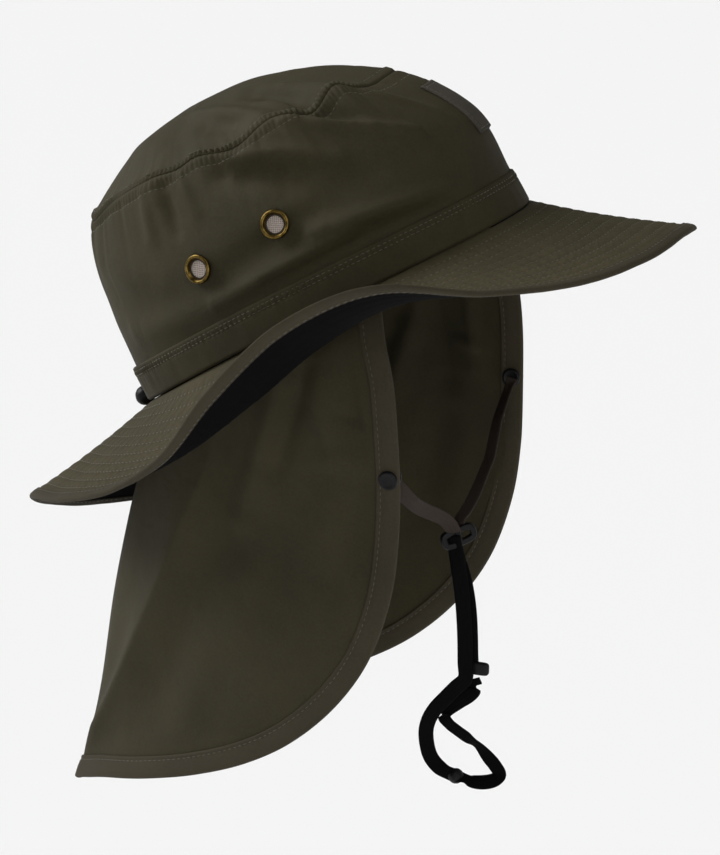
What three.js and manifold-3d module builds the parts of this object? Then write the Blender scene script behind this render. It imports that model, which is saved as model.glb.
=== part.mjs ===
// Sun hat with a neck flap, worn pitched back so that its flap and chin strap hang straight down.
// Millimetres. +X is the wearer's front, +Y the wearer's left, +Z up. The origin is the centre of
// the head opening. Hat-frame points (crown upright) are turned nose-up by PITCH into this frame.
import * as THREE from 'three';
import { mergeVertices } from 'three/addons/utils/BufferGeometryUtils.js';
import Module from 'manifold-3d';

const wasm = await Module();
wasm.setup();

const GAP = 0.35;
const RING_COLUMNS = 50;
const PITCH = THREE.MathUtils.degToRad(30.3);

// Head opening: an ellipse for a head of about 57 cm, dipping a little at the front and back.
const HEAD = { halfLength: 99.6, halfWidth: 81.4, dip: 2 };
const CLOTH = { crown: 1.4, brimLayer: 1.0, flap: 1.2, hem: 1.0, band: 1.1 };

// Crown wall: how far it has drawn in from the head opening at each height.
const CROWN_ROWS = [
  { height: 0, front: 2, side: 0, back: 0 },
  { height: 18, front: 2.2, side: 0.4, back: 0.4 },
  { height: 36, front: 1.4, side: 1.6, back: 2.4 },
  { height: 48, front: 3, side: 3.4, back: 4.2 },
  { height: 58, front: 7.2, side: 5.8, back: 5.2 },
  { height: 67, front: 12.8, side: 8.6, back: 7 },
  { height: 76, front: 19.6, side: 12, back: 10.2 },
  { height: 84, front: 28, side: 15.8, back: 15 },
];
// The top seam dips at the front by this much.
const SEAM_DIP = 6;
const PUCKER = { waves: 9, depth: 0.9 };
// The soft crown lets the top seam wander: its rise at each angle from the front. A negative angle is
// on the wearer's right. The rise fades out down the wall and in towards the middle of the tip.
const SEAM_RISE = [
  { angle: -180, rise: 0 }, { angle: -166, rise: 0.8 }, { angle: -147, rise: -1.6 },
  { angle: -126, rise: 1.6 }, { angle: -105, rise: 2.4 }, { angle: -96, rise: 0.6 },
  { angle: -88, rise: 1.4 }, { angle: -76, rise: -2.6 }, { angle: -63, rise: 2.4 },
  { angle: -57, rise: 2.2 }, { angle: -48, rise: -2 }, { angle: -35, rise: 7 }, { angle: -25, rise: 2.8 },
  { angle: -13, rise: 1.6 }, { angle: 0, rise: 2 }, { angle: 14, rise: 2 }, { angle: 27, rise: 1.4 },
  { angle: 38, rise: 0.8 }, { angle: 50, rise: -0.8 }, { angle: 61, rise: 1 }, { angle: 74, rise: -2 },
  { angle: 90, rise: 1.4 }, { angle: 104, rise: 2 }, { angle: 124, rise: -1.4 }, { angle: 143, rise: 1.2 },
  { angle: 163, rise: -0.8 }, { angle: 180, rise: 0 },
];
const RISE_FADE = { wall: 6, tip: 4 };
const TIP = { rise: 23.3, apexX: -18, roundness: 1.25, rings: 4 };
const BAND = { bottom: 0.9, top: 16.5 };
// The patch sits a little to the wearer's left of the front.
const LABEL = { centre: 8, halfAngle: 8, bottom: 40, top: 71, thickness: 0.8, columns: 4, rows: 4 };

// Brim: width along the cloth's chord, slope of that chord on the wearer's right and left, and how
// far the middle sags below it (a negative sag is an arch).
const BRIM_SECTIONS = [
  { angle: 0, width: 69, right: -33, left: -33, sag: -1 },
  { angle: 15, width: 69, right: -32.5, left: -37.5, sag: 0.5 },
  { angle: 30, width: 68.5, right: -28.5, left: -41, sag: 1 },
  { angle: 45, width: 68, right: -16.6, left: -40, sag: 4 },
  { angle: 60, width: 68, right: 3, left: -32, sag: 9 },
  { angle: 75, width: 68, right: 5.6, left: -20, sag: 13 },
  { angle: 90, width: 68, right: -3.8, left: -14, sag: 15 },
  { angle: 105, width: 68, right: -17, left: -19, sag: 11 },
  { angle: 120, width: 68, right: -19.5, left: -29, sag: 6 },
  { angle: 135, width: 68.5, right: -14.5, left: -36, sag: 3 },
  { angle: 150, width: 69, right: -9, left: -39, sag: 1.5 },
  { angle: 165, width: 70, right: -14.5, left: -38, sag: 1 },
  { angle: 180, width: 70, right: -26, left: -26, sag: 0.5 },
];
const BRIM = { layerGap: 0.45, rings: [-3.2, 0, 9, 26, 44] };
const BINDING = { reach: 4.4, wall: 0.8 };

// Neck flap: a U in plan at each level, open to the front.
const FLAP_FRONT_X = 66;
const FLAP_LEVELS = [
  { level: 32, halfWidth: 66, backX: -74 },
  { level: 15, halfWidth: 78, backX: -77 },
  { level: 0, halfWidth: 83.5, backX: -79 },
  { level: -28, halfWidth: 84, backX: -79.5 },
  { level: -60, halfWidth: 81, backX: -83.5 },
  { level: -100, halfWidth: 80, backX: -94.5 },
  { level: -140, halfWidth: 79.5, backX: -103.5 },
  { level: -190, halfWidth: 79, backX: -112 },
  { level: -245, halfWidth: 79, backX: -124.5 },
];
const FLAP = { squareness: 2.8, startAngle: 59, inset: 1.5, settle: 26, columns: 38, rows: 10 };
// The pressed crease runs down each side from the brim to the hem, given as U angles.
const CREASE = { topAngle: 38, hemAngle: 52, width: 6, height: 1.8 };
// The flap's free edge seen from the side, from the front of the brim to the centre back.
const FLAP_EDGE = [
  { x: 45.8, level: 26 }, { x: 51.4, level: 9 }, { x: 57.2, level: -14 }, { x: 58.9, level: -50 },
  { x: 57.8, level: -85 }, { x: 53.8, level: -112 }, { x: 44, level: -140 }, { x: 28, level: -164 },
  { x: 7, level: -184 }, { x: -16, level: -198.2 }, { x: -42, level: -209 }, { x: -70, level: -218 },
  { x: -96, level: -226 }, { x: -110, level: -232.6 }, { x: -118.5, level: -238.6 },
  { x: -122.8, level: -242.6 },
];
// On the wearer's left the free edge hangs a little further forward and lower.
const LEFT_DRIFT = { x: 2.6, level: -3.4 };
const HEM = { width: 9.5, steps: 56, start: 0.06, clearance: 1.0 };

const EYELET = { flangeRadius: 6.5, barrelRadius: 4.6, holeRadius: 3.5, cutRadius: 4.95, sides: 12 };
const EYELET_PLACES = [
  { place: 'front', angle: 74, height: 43 },
  { place: 'rear', angle: 98.5, height: 41 },
];
const SNAP = { sides: 12, radius: 4.35, height: 1.7, x: 55.2, level: -55 };
const STOPPER = { radius: 4.6, x: -111.4, height: 0.4, cordRadius: 1.3 };

const STRAP = { width: 7, thickness: 1.2 };
const SLIDER = {
  x: 58.5, z: -106.2, width: 17, height: 8.4, thickness: 3.2, turn: 35, tilt: 12,
  slotWidth: 2, slotHeight: 5.2, slotOffset: 3.6,
};
const END_TAB = { x: 68.4, y: 2.6, z: -170, width: 9, height: 6.2, thickness: 2.6 };
const BEAD = { x: 58, z: -223.8, radius: 3.4 };
// Routes of the flat straps, from the snaps to the slider and on through the hanging tails. Each row
// is the centreline's x, y, z and then the direction its width points.
const STRAP_ROUTES = [
  {
    name: 'strap_right',
    steps: 19,
    rows: [
      [51, -79.4, -52.6, 0.5, 0, 1], [56, -79.4, -55, 0.5, 0, 1], [60, -79.2, -57.6, 0.4, 0, 1],
      [57.8, -76, -61.1, 1.5, 0.7, 3.1], [57.6, -61, -70.8, 2.3, -0.7, 2.6],
      [56.2, -43, -80, 1.7, -1.1, 2.9], [56, -25, -88.4, 1.5, -1.5, 2.7],
      [56, -12, -94.9, 2.3, -0.6, 2.6], [56, -5.5, -99.7, 2.4, -0.1, 2.5],
    ],
  },
  {
    name: 'strap_left',
    steps: 19,
    rows: [
      [51, 79.4, -52.6, 0.5, 0, 1], [56, 79.4, -54.6, 0.4, 0, 1], [61.6, 79.2, -56.2, 0.2, 0, 1],
      [63.8, 75.6, -58, 0.8, -0.4, 1], [62.2, 66, -61.6, 2.4, -1.6, 1.2],
      [60.6, 54, -67.4, 2.8, -1.9, 1.1], [61, 45, -73.7, 2.9, -1.7, 0.8],
      [61.2, 37, -80.6, 3, -1.6, 0.8], [61.5, 29, -84.4, 2.9, -1.8, 0.6],
      [60.8, 21, -89.3, 2.8, -2.1, 0.1], [59.9, 14, -93, 2.8, -2.1, -0.2],
      [58.9, 7.5, -96.9, 2.7, -2.2, -0.2], [58, 4, -98.8, 2.8, -2.1, -0.1],
    ],
  },
  {
    name: 'strap_tail_short',
    steps: 12,
    rows: [
      [56.7, 2.6, -115.4, 3.4, 0.4, 0.6], [59.6, 2.6, -124.5, 3.4, 0.7, 0.5],
      [61.7, 2.6, -132.9, 3.4, 0.5, 0.5], [63.1, 2.6, -143.3, 3.4, 0.7, 0.4],
      [63.8, 2.6, -154.9, 3.4, 0.7, 0.4], [64.1, 2.6, -165.1, 3.4, 0.7, 0.3],
    ],
  },
  {
    name: 'strap_tail_long',
    steps: 38,
    rows: [
      [57.5, -1.4, -112.3, 3.5, 0.2, 0.5], [59.4, -1.4, -123.1, 3.2, 1.3, 0.2],
      [60.9, -1.4, -133.5, 3.2, 1.3, 0.2], [61.9, -1.4, -144, 3.2, 1.3, 0.2],
      [62.5, -1.4, -155.6, 3.2, 1.3, 0.2], [62.7, -1.4, -166.2, 3.3, 1.3, 0.1],
      [62.9, -1.6, -174, 3.2, 0.9, -1.1], [58.7, -2, -178.8, 2.8, 0.4, -2],
      [53.7, -2.4, -184.6, 2.7, 0.3, -2.2], [49, -2.4, -190.3, 2.9, 0.5, -1.9],
      [45.8, -2.2, -195.9, 3.2, 0.8, -1.3], [44, -1.6, -202.1, 3.3, 1.2, -0.3],
      [44.1, -1, -208.8, 3, 1.5, 1], [45.8, -0.5, -215.5, 2.7, 1.6, 1.6],
      [49.2, 0, -220, 2.3, 1.6, 2.1], [53.1, 0, -222.3, 2.5, 0, 2.5],
    ],
  },
  {
    name: 'strap_loop_return',
    steps: 32,
    rows: [
      [63.2, 0, -224.4, 0.9, -3.3, -0.6], [65.4, 0, -225.1, 0.9, -3, -1.6],
      [70.2, 0, -225.1, 0.8, -2.3, -2.5], [75.1, 0.4, -224, 1, -2, -2.7],
      [78.1, 0.8, -222.3, 2, -1.9, -2.1], [79.1, 1.4, -220.2, 3.2, -0.8, -1.1],
      [76.4, 2, -216.3, 3.4, -0.3, 0.9], [73.1, 2.4, -213.1, 3, -0.4, 1.7],
      [69, 2.6, -208.9, 2.6, -1.7, 1.5], [66, 2.8, -206.8, 1.8, -2.2, 2.1],
      [62.6, 3, -205.1, 1.3, -1.2, 3], [57.7, 3.2, -202.4, 1.2, -1.1, 3.1],
      [53.3, 3.6, -199.7, 1.4, -0.9, 3.1], [50.1, 4.6, -196.1, 0, 0.4, 3.5],
      [51, 5.4, -194.4, -1.4, -0.4, 3.2], [57.1, 5.4, -189.1, -2.1, 0.1, 2.8],
      [65.5, 5.2, -182.2, -1.7, 0.3, 3],
    ],
  },
];

const OLIVE = new THREE.MeshStandardMaterial({ color: '#3a382d', roughness: 0.8, side: THREE.DoubleSide });
const OLIVE_BINDING = new THREE.MeshStandardMaterial({ color: '#3c3930', roughness: 0.75 });
const BLACK_CLOTH = new THREE.MeshStandardMaterial({ color: '#17141a', roughness: 0.85 });
const CHARCOAL = new THREE.MeshStandardMaterial({ color: '#26272b', roughness: 0.9 });
const BRASS = new THREE.MeshStandardMaterial({ color: '#8a7433', roughness: 0.4, metalness: 1 });
const MESH = new THREE.MeshStandardMaterial({ color: '#8f837b', roughness: 0.9 });
const ELASTIC = new THREE.MeshStandardMaterial({ color: '#131215', roughness: 0.8 });
const PLASTIC = new THREE.MeshStandardMaterial({ color: '#1d1b20', roughness: 0.5 });

const radians = THREE.MathUtils.degToRad;
const hatGroup = new THREE.Group();
hatGroup.rotation.y = -PITCH;
const hangingGroup = new THREE.Group();

function addPiece(group, name, geometry, material) {
  const mesh = new THREE.Mesh(geometry, material);
  mesh.name = name;
  group.add(mesh);
  return mesh;
}

// Reads a table at one key, easing smoothly between its rows.
function readTable(rows, key, at, column) {
  const rising = rows[rows.length - 1][key] > rows[0][key];
  const ahead = (row) => (rising ? row[key] >= at : row[key] <= at);
  const next = Math.max(1, rows.findIndex(ahead) === -1 ? rows.length - 1 : rows.findIndex(ahead));
  const [a, b] = [rows[next - 1], rows[next]];
  const before = rows[Math.max(0, next - 2)];
  const after = rows[Math.min(rows.length - 1, next + 1)];
  const t = THREE.MathUtils.clamp((at - a[key]) / (b[key] - a[key]), 0, 1);
  const slope = (p, q) => (q === p ? 0 : (q[column] - p[column]) / (q[key] - p[key]));
  const span = b[key] - a[key];
  const [startPull, endPull] = [slope(before, b) * span, slope(a, after) * span];
  const [t2, t3] = [t * t, t * t * t];
  return (2 * t3 - 3 * t2 + 1) * a[column] + (t3 - 2 * t2 + t) * startPull
    + (3 * t2 - 2 * t3) * b[column] + (t3 - t2) * endPull;
}

// Turns a hat-frame point into the worn frame.
function worn(point) {
  return point.clone().applyAxisAngle(new THREE.Vector3(0, 1, 0), -PITCH);
}

// One closed body between an outer and an inner skin, each a function of (u, v) on a grid. The
// outer skin's du x dv points out. A wrapped grid joins its last column to its first, and a grid
// with a pole has its v = 0 row in one point.
function clothSolid(outer, inner, columns, rows, { wrap = false, pole = false } = {}) {
  const count = wrap ? columns : columns + 1;
  const skin = (surface) => Array.from({ length: count }, (_, i) =>
    Array.from({ length: rows + 1 }, (_, j) => surface(i / columns, j / rows)));
  const [out, back] = [skin(outer), skin(inner)];
  const corners = [];
  const quad = (a, b, c, d) => {
    for (const [p, q, r] of [[a, b, c], [a, c, d]]) {
      const area = new THREE.Vector3().crossVectors(q.clone().sub(p), r.clone().sub(p)).length();
      if (area > 1e-6) corners.push(p, q, r);
    }
  };
  for (let i = 0; i < columns; i += 1) {
    const k = (i + 1) % count;
    for (let j = 0; j < rows; j += 1) {
      quad(out[i][j], out[k][j], out[k][j + 1], out[i][j + 1]);
      quad(back[i][j], back[i][j + 1], back[k][j + 1], back[k][j]);
    }
    if (!pole) quad(out[i][0], back[i][0], back[k][0], out[k][0]);
    quad(out[i][rows], out[k][rows], back[k][rows], back[i][rows]);
  }
  for (let j = 0; j < rows && !wrap; j += 1) {
    quad(out[0][j], out[0][j + 1], back[0][j + 1], back[0][j]);
    quad(out[columns][j], back[columns][j], back[columns][j + 1], out[columns][j + 1]);
  }
  return finished(corners);
}

function finished(corners) {
  const geometry = new THREE.BufferGeometry().setFromPoints(corners);
  const welded = mergeVertices(geometry, 1e-4);
  welded.computeVertexNormals();
  return welded;
}

function seamRise(angle) {
  const turn = THREE.MathUtils.radToDeg(Math.atan2(Math.sin(angle), Math.cos(angle)));
  return readTable(SEAM_RISE, 'angle', turn, 'rise');
}

// Point of the crown wall: an ellipse that draws in with height, puckered near its top seam. The
// tip is drawn without the seam's rise and adds its own.
function crownPoint(angle, height, offset = 0, risen = true) {
  const [c, s] = [Math.cos(angle), Math.sin(angle)];
  const inset = (column) => readTable(CROWN_ROWS, 'height', height, column);
  const endInset = c > 0 ? inset('front') : inset('back');
  const top = CROWN_ROWS[CROWN_ROWS.length - 1].height;
  const pucker = PUCKER.depth * Math.sin(PUCKER.waves * angle) * (height / top) ** 4;
  const drawn = endInset * c * c + inset('side') * s * s - pucker - offset;
  const lower = HEAD.dip * Math.cos(2 * angle) * (1 - height / top);
  const seamDip = SEAM_DIP * Math.max(0, c) ** 2 * (height / top) ** 2;
  const rise = risen ? seamRise(angle) * (height / top) ** RISE_FADE.wall : 0;
  const level = height - lower - seamDip + rise;
  return new THREE.Vector3((HEAD.halfLength - drawn) * c, (HEAD.halfWidth - drawn) * s, level);
}

function buildCrown() {
  const top = CROWN_ROWS[CROWN_ROWS.length - 1].height;
  const columns = RING_COLUMNS;
  const heightAt = (v) => CROWN_ROWS[Math.round(v * (CROWN_ROWS.length - 1))].height;
  const wallSkin = (offset) => (u, v) => crownPoint(u * 2 * Math.PI, heightAt(v), offset);
  const rows = CROWN_ROWS.length - 1;
  const wall = clothSolid(wallSkin(0), wallSkin(-CLOTH.crown), columns, rows, { wrap: true });
  addPiece(hatGroup, 'crown_wall', cutEyeletHoles(wall), OLIVE);

  // The tip rises from the seam to a low dome whose highest point is behind the middle.
  const tipSkin = (lift) => (u, v) => {
    const rim = crownPoint(-u * 2 * Math.PI, top, 0, false);
    const dome = TIP.rise * (1 - v * v) ** TIP.roundness;
    const rise = dome + seamRise(-u * 2 * Math.PI) * v ** RISE_FADE.tip;
    return new THREE.Vector3(
      THREE.MathUtils.lerp(TIP.apexX, rim.x, v),
      rim.y * v,
      THREE.MathUtils.lerp(top, rim.z, v * v) + rise + lift,
    );
  };
  const round = { wrap: true, pole: true };
  const tip = clothSolid(tipSkin(GAP + CLOTH.crown), tipSkin(GAP), columns, TIP.rings, round);
  addPiece(hatGroup, 'crown_tip', tip, OLIVE);

  const bandSkin = (offset) => (u, v) =>
    crownPoint(u * 2 * Math.PI, THREE.MathUtils.lerp(BAND.bottom, BAND.top, v), offset);
  const band = clothSolid(bandSkin(GAP + CLOTH.band), bandSkin(GAP), columns, 1, { wrap: true });
  addPiece(hatGroup, 'crown_band', band, OLIVE);

  const labelSkin = (offset) => (u, v) => crownPoint(
    radians(LABEL.centre + THREE.MathUtils.lerp(-LABEL.halfAngle, LABEL.halfAngle, u)),
    THREE.MathUtils.lerp(LABEL.bottom, LABEL.top, v),
    offset,
  );
  const label = clothSolid(
    labelSkin(2 * GAP + LABEL.thickness), labelSkin(2 * GAP), LABEL.columns, LABEL.rows,
  );
  addPiece(hatGroup, 'front_label', label, CHARCOAL);
}

// Position and outward direction of an eyelet in the crown wall.
function eyeletSeat(side, { angle, height }) {
  const turn = side * radians(angle);
  const point = crownPoint(turn, height);
  const along = crownPoint(turn + 0.02, height).sub(crownPoint(turn - 0.02, height));
  const up = crownPoint(turn, height + 2).sub(crownPoint(turn, height - 2));
  return { point, out: along.cross(up).normalize() };
}

function seated(geometry, { point, out }) {
  const turn = new THREE.Quaternion().setFromUnitVectors(new THREE.Vector3(0, 1, 0), out);
  return geometry.applyQuaternion(turn).translate(point.x, point.y, point.z);
}

function toManifold(geometry) {
  const bare = geometry.clone();
  bare.deleteAttribute('normal');
  bare.deleteAttribute('uv');
  const welded = mergeVertices(bare, 1e-4);
  return new wasm.Manifold(new wasm.Mesh({
    numProp: 3,
    vertProperties: new Float32Array(welded.attributes.position.array),
    triVerts: new Uint32Array(welded.index.array),
  }));
}

function fromManifold(solid) {
  const { vertProperties, triVerts, numProp } = solid.getMesh();
  const corner = (k) => new THREE.Vector3().fromArray(vertProperties, k * numProp);
  return finished(Array.from(triVerts, corner));
}

function cutEyeletHoles(wall) {
  let solid = toManifold(wall);
  for (const side of [-1, 1]) {
    for (const place of EYELET_PLACES) {
      const drill = new THREE.CylinderGeometry(EYELET.cutRadius, EYELET.cutRadius, 12, EYELET.sides);
      solid = solid.subtract(toManifold(seated(drill, eyeletSeat(side, place))));
    }
  }
  return fromManifold(solid);
}

// Each vent eyelet is a turned brass ring with a disc of netting inside its barrel.
function buildEyelets() {
  const { flangeRadius, barrelRadius, holeRadius, sides } = EYELET;
  const seat = 0.6;
  const profile = [
    [holeRadius, -2.3], [barrelRadius, -2.3], [barrelRadius, seat], [flangeRadius, seat],
    [flangeRadius - 0.4, seat + 0.9], [flangeRadius - 1.5, seat + 1.3], [holeRadius + 0.4, seat + 0.8],
    [holeRadius, seat], [holeRadius, -2.3],
  ].map(([r, y]) => new THREE.Vector2(r, y));
  for (const [side, hand] of [[-1, 'right'], [1, 'left']]) {
    for (const place of EYELET_PLACES) {
      const frame = eyeletSeat(side, place);
      const ring = mergeVertices(stripped(new THREE.LatheGeometry(profile, sides)), 1e-4);
      addPiece(hatGroup, `eyelet_${hand}_${place.place}`, seated(ring, frame), BRASS);
      const disc = new THREE.CylinderGeometry(holeRadius - GAP, holeRadius - GAP, 0.5, sides);
      disc.translate(0, -0.6, 0);
      addPiece(hatGroup, `vent_mesh_${hand}_${place.place}`, seated(disc, frame), MESH);
    }
  }
}

function stripped(geometry) {
  geometry.deleteAttribute('normal');
  geometry.deleteAttribute('uv');
  return geometry;
}

// Point of the brim's middle surface, `reach` millimetres out from the head opening. Inside the
// opening it is a level flange under the crown wall.
function brimPoint(angle, reach, lift) {
  const [c, s] = [Math.cos(angle), Math.sin(angle)];
  const turn = Math.abs(THREE.MathUtils.radToDeg(Math.atan2(s, c)));
  const read = (column) => readTable(BRIM_SECTIONS, 'angle', turn, column);
  const slope = radians(s < 0 ? read('right') : read('left'));
  const t = Math.max(0, reach) / read('width');
  const out = new THREE.Vector3(HEAD.halfWidth * c, HEAD.halfLength * s, 0).normalize();
  const run = reach < 0 ? reach : reach * Math.cos(slope);
  const drop = reach < 0 ? 0 : reach * Math.sin(slope) - 4 * read('sag') * t * (1 - t);
  return new THREE.Vector3(
    HEAD.halfLength * c + out.x * run,
    HEAD.halfWidth * s + out.y * run,
    -HEAD.dip * Math.cos(2 * angle) + drop + lift,
  );
}

function brimWidth(angle) {
  const turn = Math.abs(THREE.MathUtils.radToDeg(Math.atan2(Math.sin(angle), Math.cos(angle))));
  return readTable(BRIM_SECTIONS, 'angle', turn, 'width');
}

const LOWER_LAYER = -GAP - CLOTH.brimLayer - BRIM.layerGap;
const BRIM_BOTTOM = LOWER_LAYER - CLOTH.brimLayer;

function buildBrim() {
  const columns = RING_COLUMNS;
  const rows = BRIM.rings.length + 1;
  const skin = (lift) => (u, v) => {
    const angle = u * 2 * Math.PI;
    const width = brimWidth(angle);
    const reaches = [...BRIM.rings, width - BINDING.reach, width];
    return brimPoint(angle, reaches[Math.round(v * rows)], lift);
  };
  const layer = (top) => clothSolid(
    skin(top - CLOTH.brimLayer), skin(top), columns, rows, { wrap: true },
  );
  addPiece(hatGroup, 'brim_top', layer(-GAP), OLIVE);
  addPiece(hatGroup, 'brim_underside', layer(LOWER_LAYER), BLACK_CLOTH);

  // The binding is a channel folded over the brim's edge.
  const [floor, ceiling] = [BRIM_BOTTOM - 2 * GAP, GAP / 2];
  const [low, high] = [floor - BINDING.wall, ceiling + BINDING.wall];
  const rim = [
    [-BINDING.reach, high], [GAP + BINDING.wall, high], [GAP + BINDING.wall, low], [-BINDING.reach, low],
    [-BINDING.reach, floor], [GAP, floor], [GAP, ceiling], [-BINDING.reach, ceiling],
  ];
  addPiece(hatGroup, 'brim_binding', ringFromProfile(rim, RING_COLUMNS), OLIVE_BINDING);
}

// A closed ring whose section is a loop of [past the brim's edge, lift] corners.
function ringFromProfile(profile, columns) {
  const rings = Array.from({ length: columns }, (_, i) => {
    const angle = (i / columns) * 2 * Math.PI;
    return profile.map(([past, lift]) => brimPoint(angle, brimWidth(angle) + past, lift));
  });
  const corners = [];
  for (let i = 0; i < columns; i += 1) {
    const [here, next] = [rings[i], rings[(i + 1) % columns]];
    for (let j = 0; j < profile.length; j += 1) {
      const k = (j + 1) % profile.length;
      corners.push(here[j], next[k], next[j], here[j], here[k], next[k]);
    }
  }
  return finished(corners);
}

// Point of the flap at a U angle (0 at the front, 90 degrees at the centre back) and a level. The U
// is a superellipse, with a pressed crease near its rear corner.
function flapPlan(turn, level, side) {
  const halfWidth = readTable(FLAP_LEVELS, 'level', level, 'halfWidth');
  const backX = readTable(FLAP_LEVELS, 'level', level, 'backX');
  const down = THREE.MathUtils.clamp(-level / 240, 0, 1);
  const crease = radians(THREE.MathUtils.lerp(CREASE.topAngle, CREASE.hemAngle, down));
  const ridge = CREASE.height * down * Math.exp(-(((turn - crease) / radians(CREASE.width)) ** 2));
  const [c, s] = [Math.cos(turn), Math.sin(turn)];
  const power = FLAP.squareness;
  const reach = (Math.abs(c) ** power + Math.abs(s) ** power) ** (-1 / power) * (1 + ridge / 90);
  const drift = side > 0 ? down * c : 0;
  return new THREE.Vector3(
    FLAP_FRONT_X - (FLAP_FRONT_X - backX) * s * reach + LEFT_DRIFT.x * Math.min(1, 3 * drift),
    side * halfWidth * c * reach,
    level + LEFT_DRIFT.level * drift,
  );
}

// The U angle at which the flap reaches a given x at a level.
function flapTurn(x, level) {
  const backX = readTable(FLAP_LEVELS, 'level', level, 'backX');
  const part = THREE.MathUtils.clamp((FLAP_FRONT_X - x) / (FLAP_FRONT_X - backX), 0, 1);
  return Math.atan2(part, (1 - part ** FLAP.squareness) ** (1 / FLAP.squareness));
}

// The flap's sewn edge, a fold of cloth under the brim along the head opening.
function flapTop(part) {
  const angle = radians(THREE.MathUtils.lerp(FLAP.startAngle, 180, part));
  return worn(brimPoint(angle, -FLAP.inset, BRIM_BOTTOM - 2 * GAP));
}

const edgeCurve = new THREE.SplineCurve(FLAP_EDGE.map(({ x, level }) => new THREE.Vector2(x, level)));

// Flap middle surface. `across` runs 0 to 1 from the front edge to the centre back, `down` 0 to 1
// from the seam to the free edge; the first column is the upper part of the front edge itself.
const FRONT_EDGE_SHARE = 0.27;
function flapColumn(across, down) {
  const seam = flapTop(across);
  const foot = edgeCurve.getPointAt(THREE.MathUtils.lerp(FRONT_EDGE_SHARE, 1, across));
  if (across === 0) {
    const edge = edgeCurve.getPointAt(FRONT_EDGE_SHARE * down);
    return { turn: flapTurn(edge.x, edge.y), level: edge.y, seam };
  }
  const turns = [flapTurn(seam.x, seam.z), flapTurn(foot.x, foot.y)];
  return {
    turn: THREE.MathUtils.lerp(turns[0], turns[1], down),
    level: THREE.MathUtils.lerp(seam.z, foot.y, down),
    seam,
  };
}

function flapPoint(u, v) {
  const side = u < 0.5 ? -1 : 1;
  const across = 1 - Math.abs(2 * u - 1);
  const { turn, level, seam } = flapColumn(across, v);
  const point = flapPlan(turn, level, side);
  const start = flapPlan(flapColumn(across, 0).turn, flapColumn(across, 0).level, side);
  const pull = Math.max(0, 1 - (v * 200) / FLAP.settle) ** 2;
  const anchor = new THREE.Vector3(seam.x, side * seam.y, seam.z);
  return point.addScaledVector(anchor.sub(start), pull);
}

// Outward direction of the flap at a U angle and level.
function flapOut(turn, level, side) {
  const [h, k] = [0.01, 1];
  const around = flapPlan(turn + h, level, side).sub(flapPlan(turn - h, level, side));
  const rise = flapPlan(turn, level + k, side).sub(flapPlan(turn, level - k, side));
  return around.cross(rise).normalize().multiplyScalar(side);
}

function buildFlap() {
  const skin = (offset) => (u, v) => {
    const point = flapPoint(u, v);
    const side = u < 0.5 ? -1 : 1;
    const { turn, level } = flapColumn(1 - Math.abs(2 * u - 1), v);
    return point.addScaledVector(flapOut(turn, level, side), offset);
  };
  const [out, back] = [skin(CLOTH.flap / 2), skin(-CLOTH.flap / 2)];
  addPiece(hangingGroup, 'neck_flap', clothSolid(out, back, FLAP.columns, FLAP.rows), OLIVE);
}

// Point of the hem facing, a strip on the outside of the flap's free edge. `along` runs 0 to 1 from
// the wearer's right front round the back to the left front.
function hemPoint(along, inFromEdge, offset) {
  const side = along < 0.5 ? -1 : 1;
  const q = THREE.MathUtils.lerp(HEM.start, 1, 1 - Math.abs(2 * along - 1));
  const place = (t) => {
    const { x, y } = edgeCurve.getPointAt(THREE.MathUtils.clamp(t, 0, 1));
    return { turn: flapTurn(x, y), level: y };
  };
  const at = ({ turn, level }) => flapPlan(turn, level, side);
  const here = place(q);
  const tangent = at(place(q + 0.004)).sub(at(place(q - 0.004))).normalize();
  const inward = tangent.cross(flapOut(here.turn, here.level, side)).multiplyScalar(-side * inFromEdge);
  const perTurn = at({ turn: here.turn + 0.01, level: here.level }).sub(at(here)).divideScalar(0.01);
  const perLevel = at({ turn: here.turn, level: here.level + 1 }).sub(at(here));
  const [a, b, c] = [perTurn.dot(perTurn), perTurn.dot(perLevel), perLevel.dot(perLevel)];
  const [d, e] = [perTurn.dot(inward), perLevel.dot(inward)];
  const turn = here.turn + (d * c - e * b) / (a * c - b * b);
  const level = here.level + (e * a - d * b) / (a * c - b * b);
  return at({ turn, level }).addScaledVector(flapOut(turn, level, side), offset);
}

function buildHem() {
  const base = CLOTH.flap / 2 + HEM.clearance;
  const skin = (offset) => (u, v) => hemPoint(u, HEM.width * (1 - v), offset);
  const strip = clothSolid(skin(base + CLOTH.hem), skin(base), HEM.steps, 1);
  addPiece(hangingGroup, 'flap_hem', strip, OLIVE_BINDING);
}

// A snap near each front corner: a cap outside, and a socket inside that holds the strap's end.
function buildSnaps() {
  const outside = CLOTH.flap / 2 + HEM.clearance + CLOTH.hem + GAP;
  const inside = CLOTH.flap / 2 + 3 * GAP + STRAP.thickness + GAP;
  const cap = [
    [0, 0], [SNAP.radius, 0], [SNAP.radius, 0.7], [SNAP.radius - 0.9, SNAP.height], [0, SNAP.height],
  ];
  const profile = cap.map(([r, y]) => new THREE.Vector2(r, y));
  for (const [side, hand] of [[-1, 'right'], [1, 'left']]) {
    const turn = flapTurn(SNAP.x, SNAP.level);
    const point = flapPlan(turn, SNAP.level, side);
    const out = flapOut(turn, SNAP.level, side);
    for (const [name, way, offset] of [['cap', 1, outside], ['socket', -1, inside]]) {
      const shape = mergeVertices(stripped(new THREE.LatheGeometry(profile, SNAP.sides)), 1e-4);
      shape.translate(0, offset, 0);
      const frame = { point, out: out.clone().multiplyScalar(way) };
      addPiece(hangingGroup, `snap_${name}_${hand}`, seated(shape, frame), PLASTIC);
    }
  }
}

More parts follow.
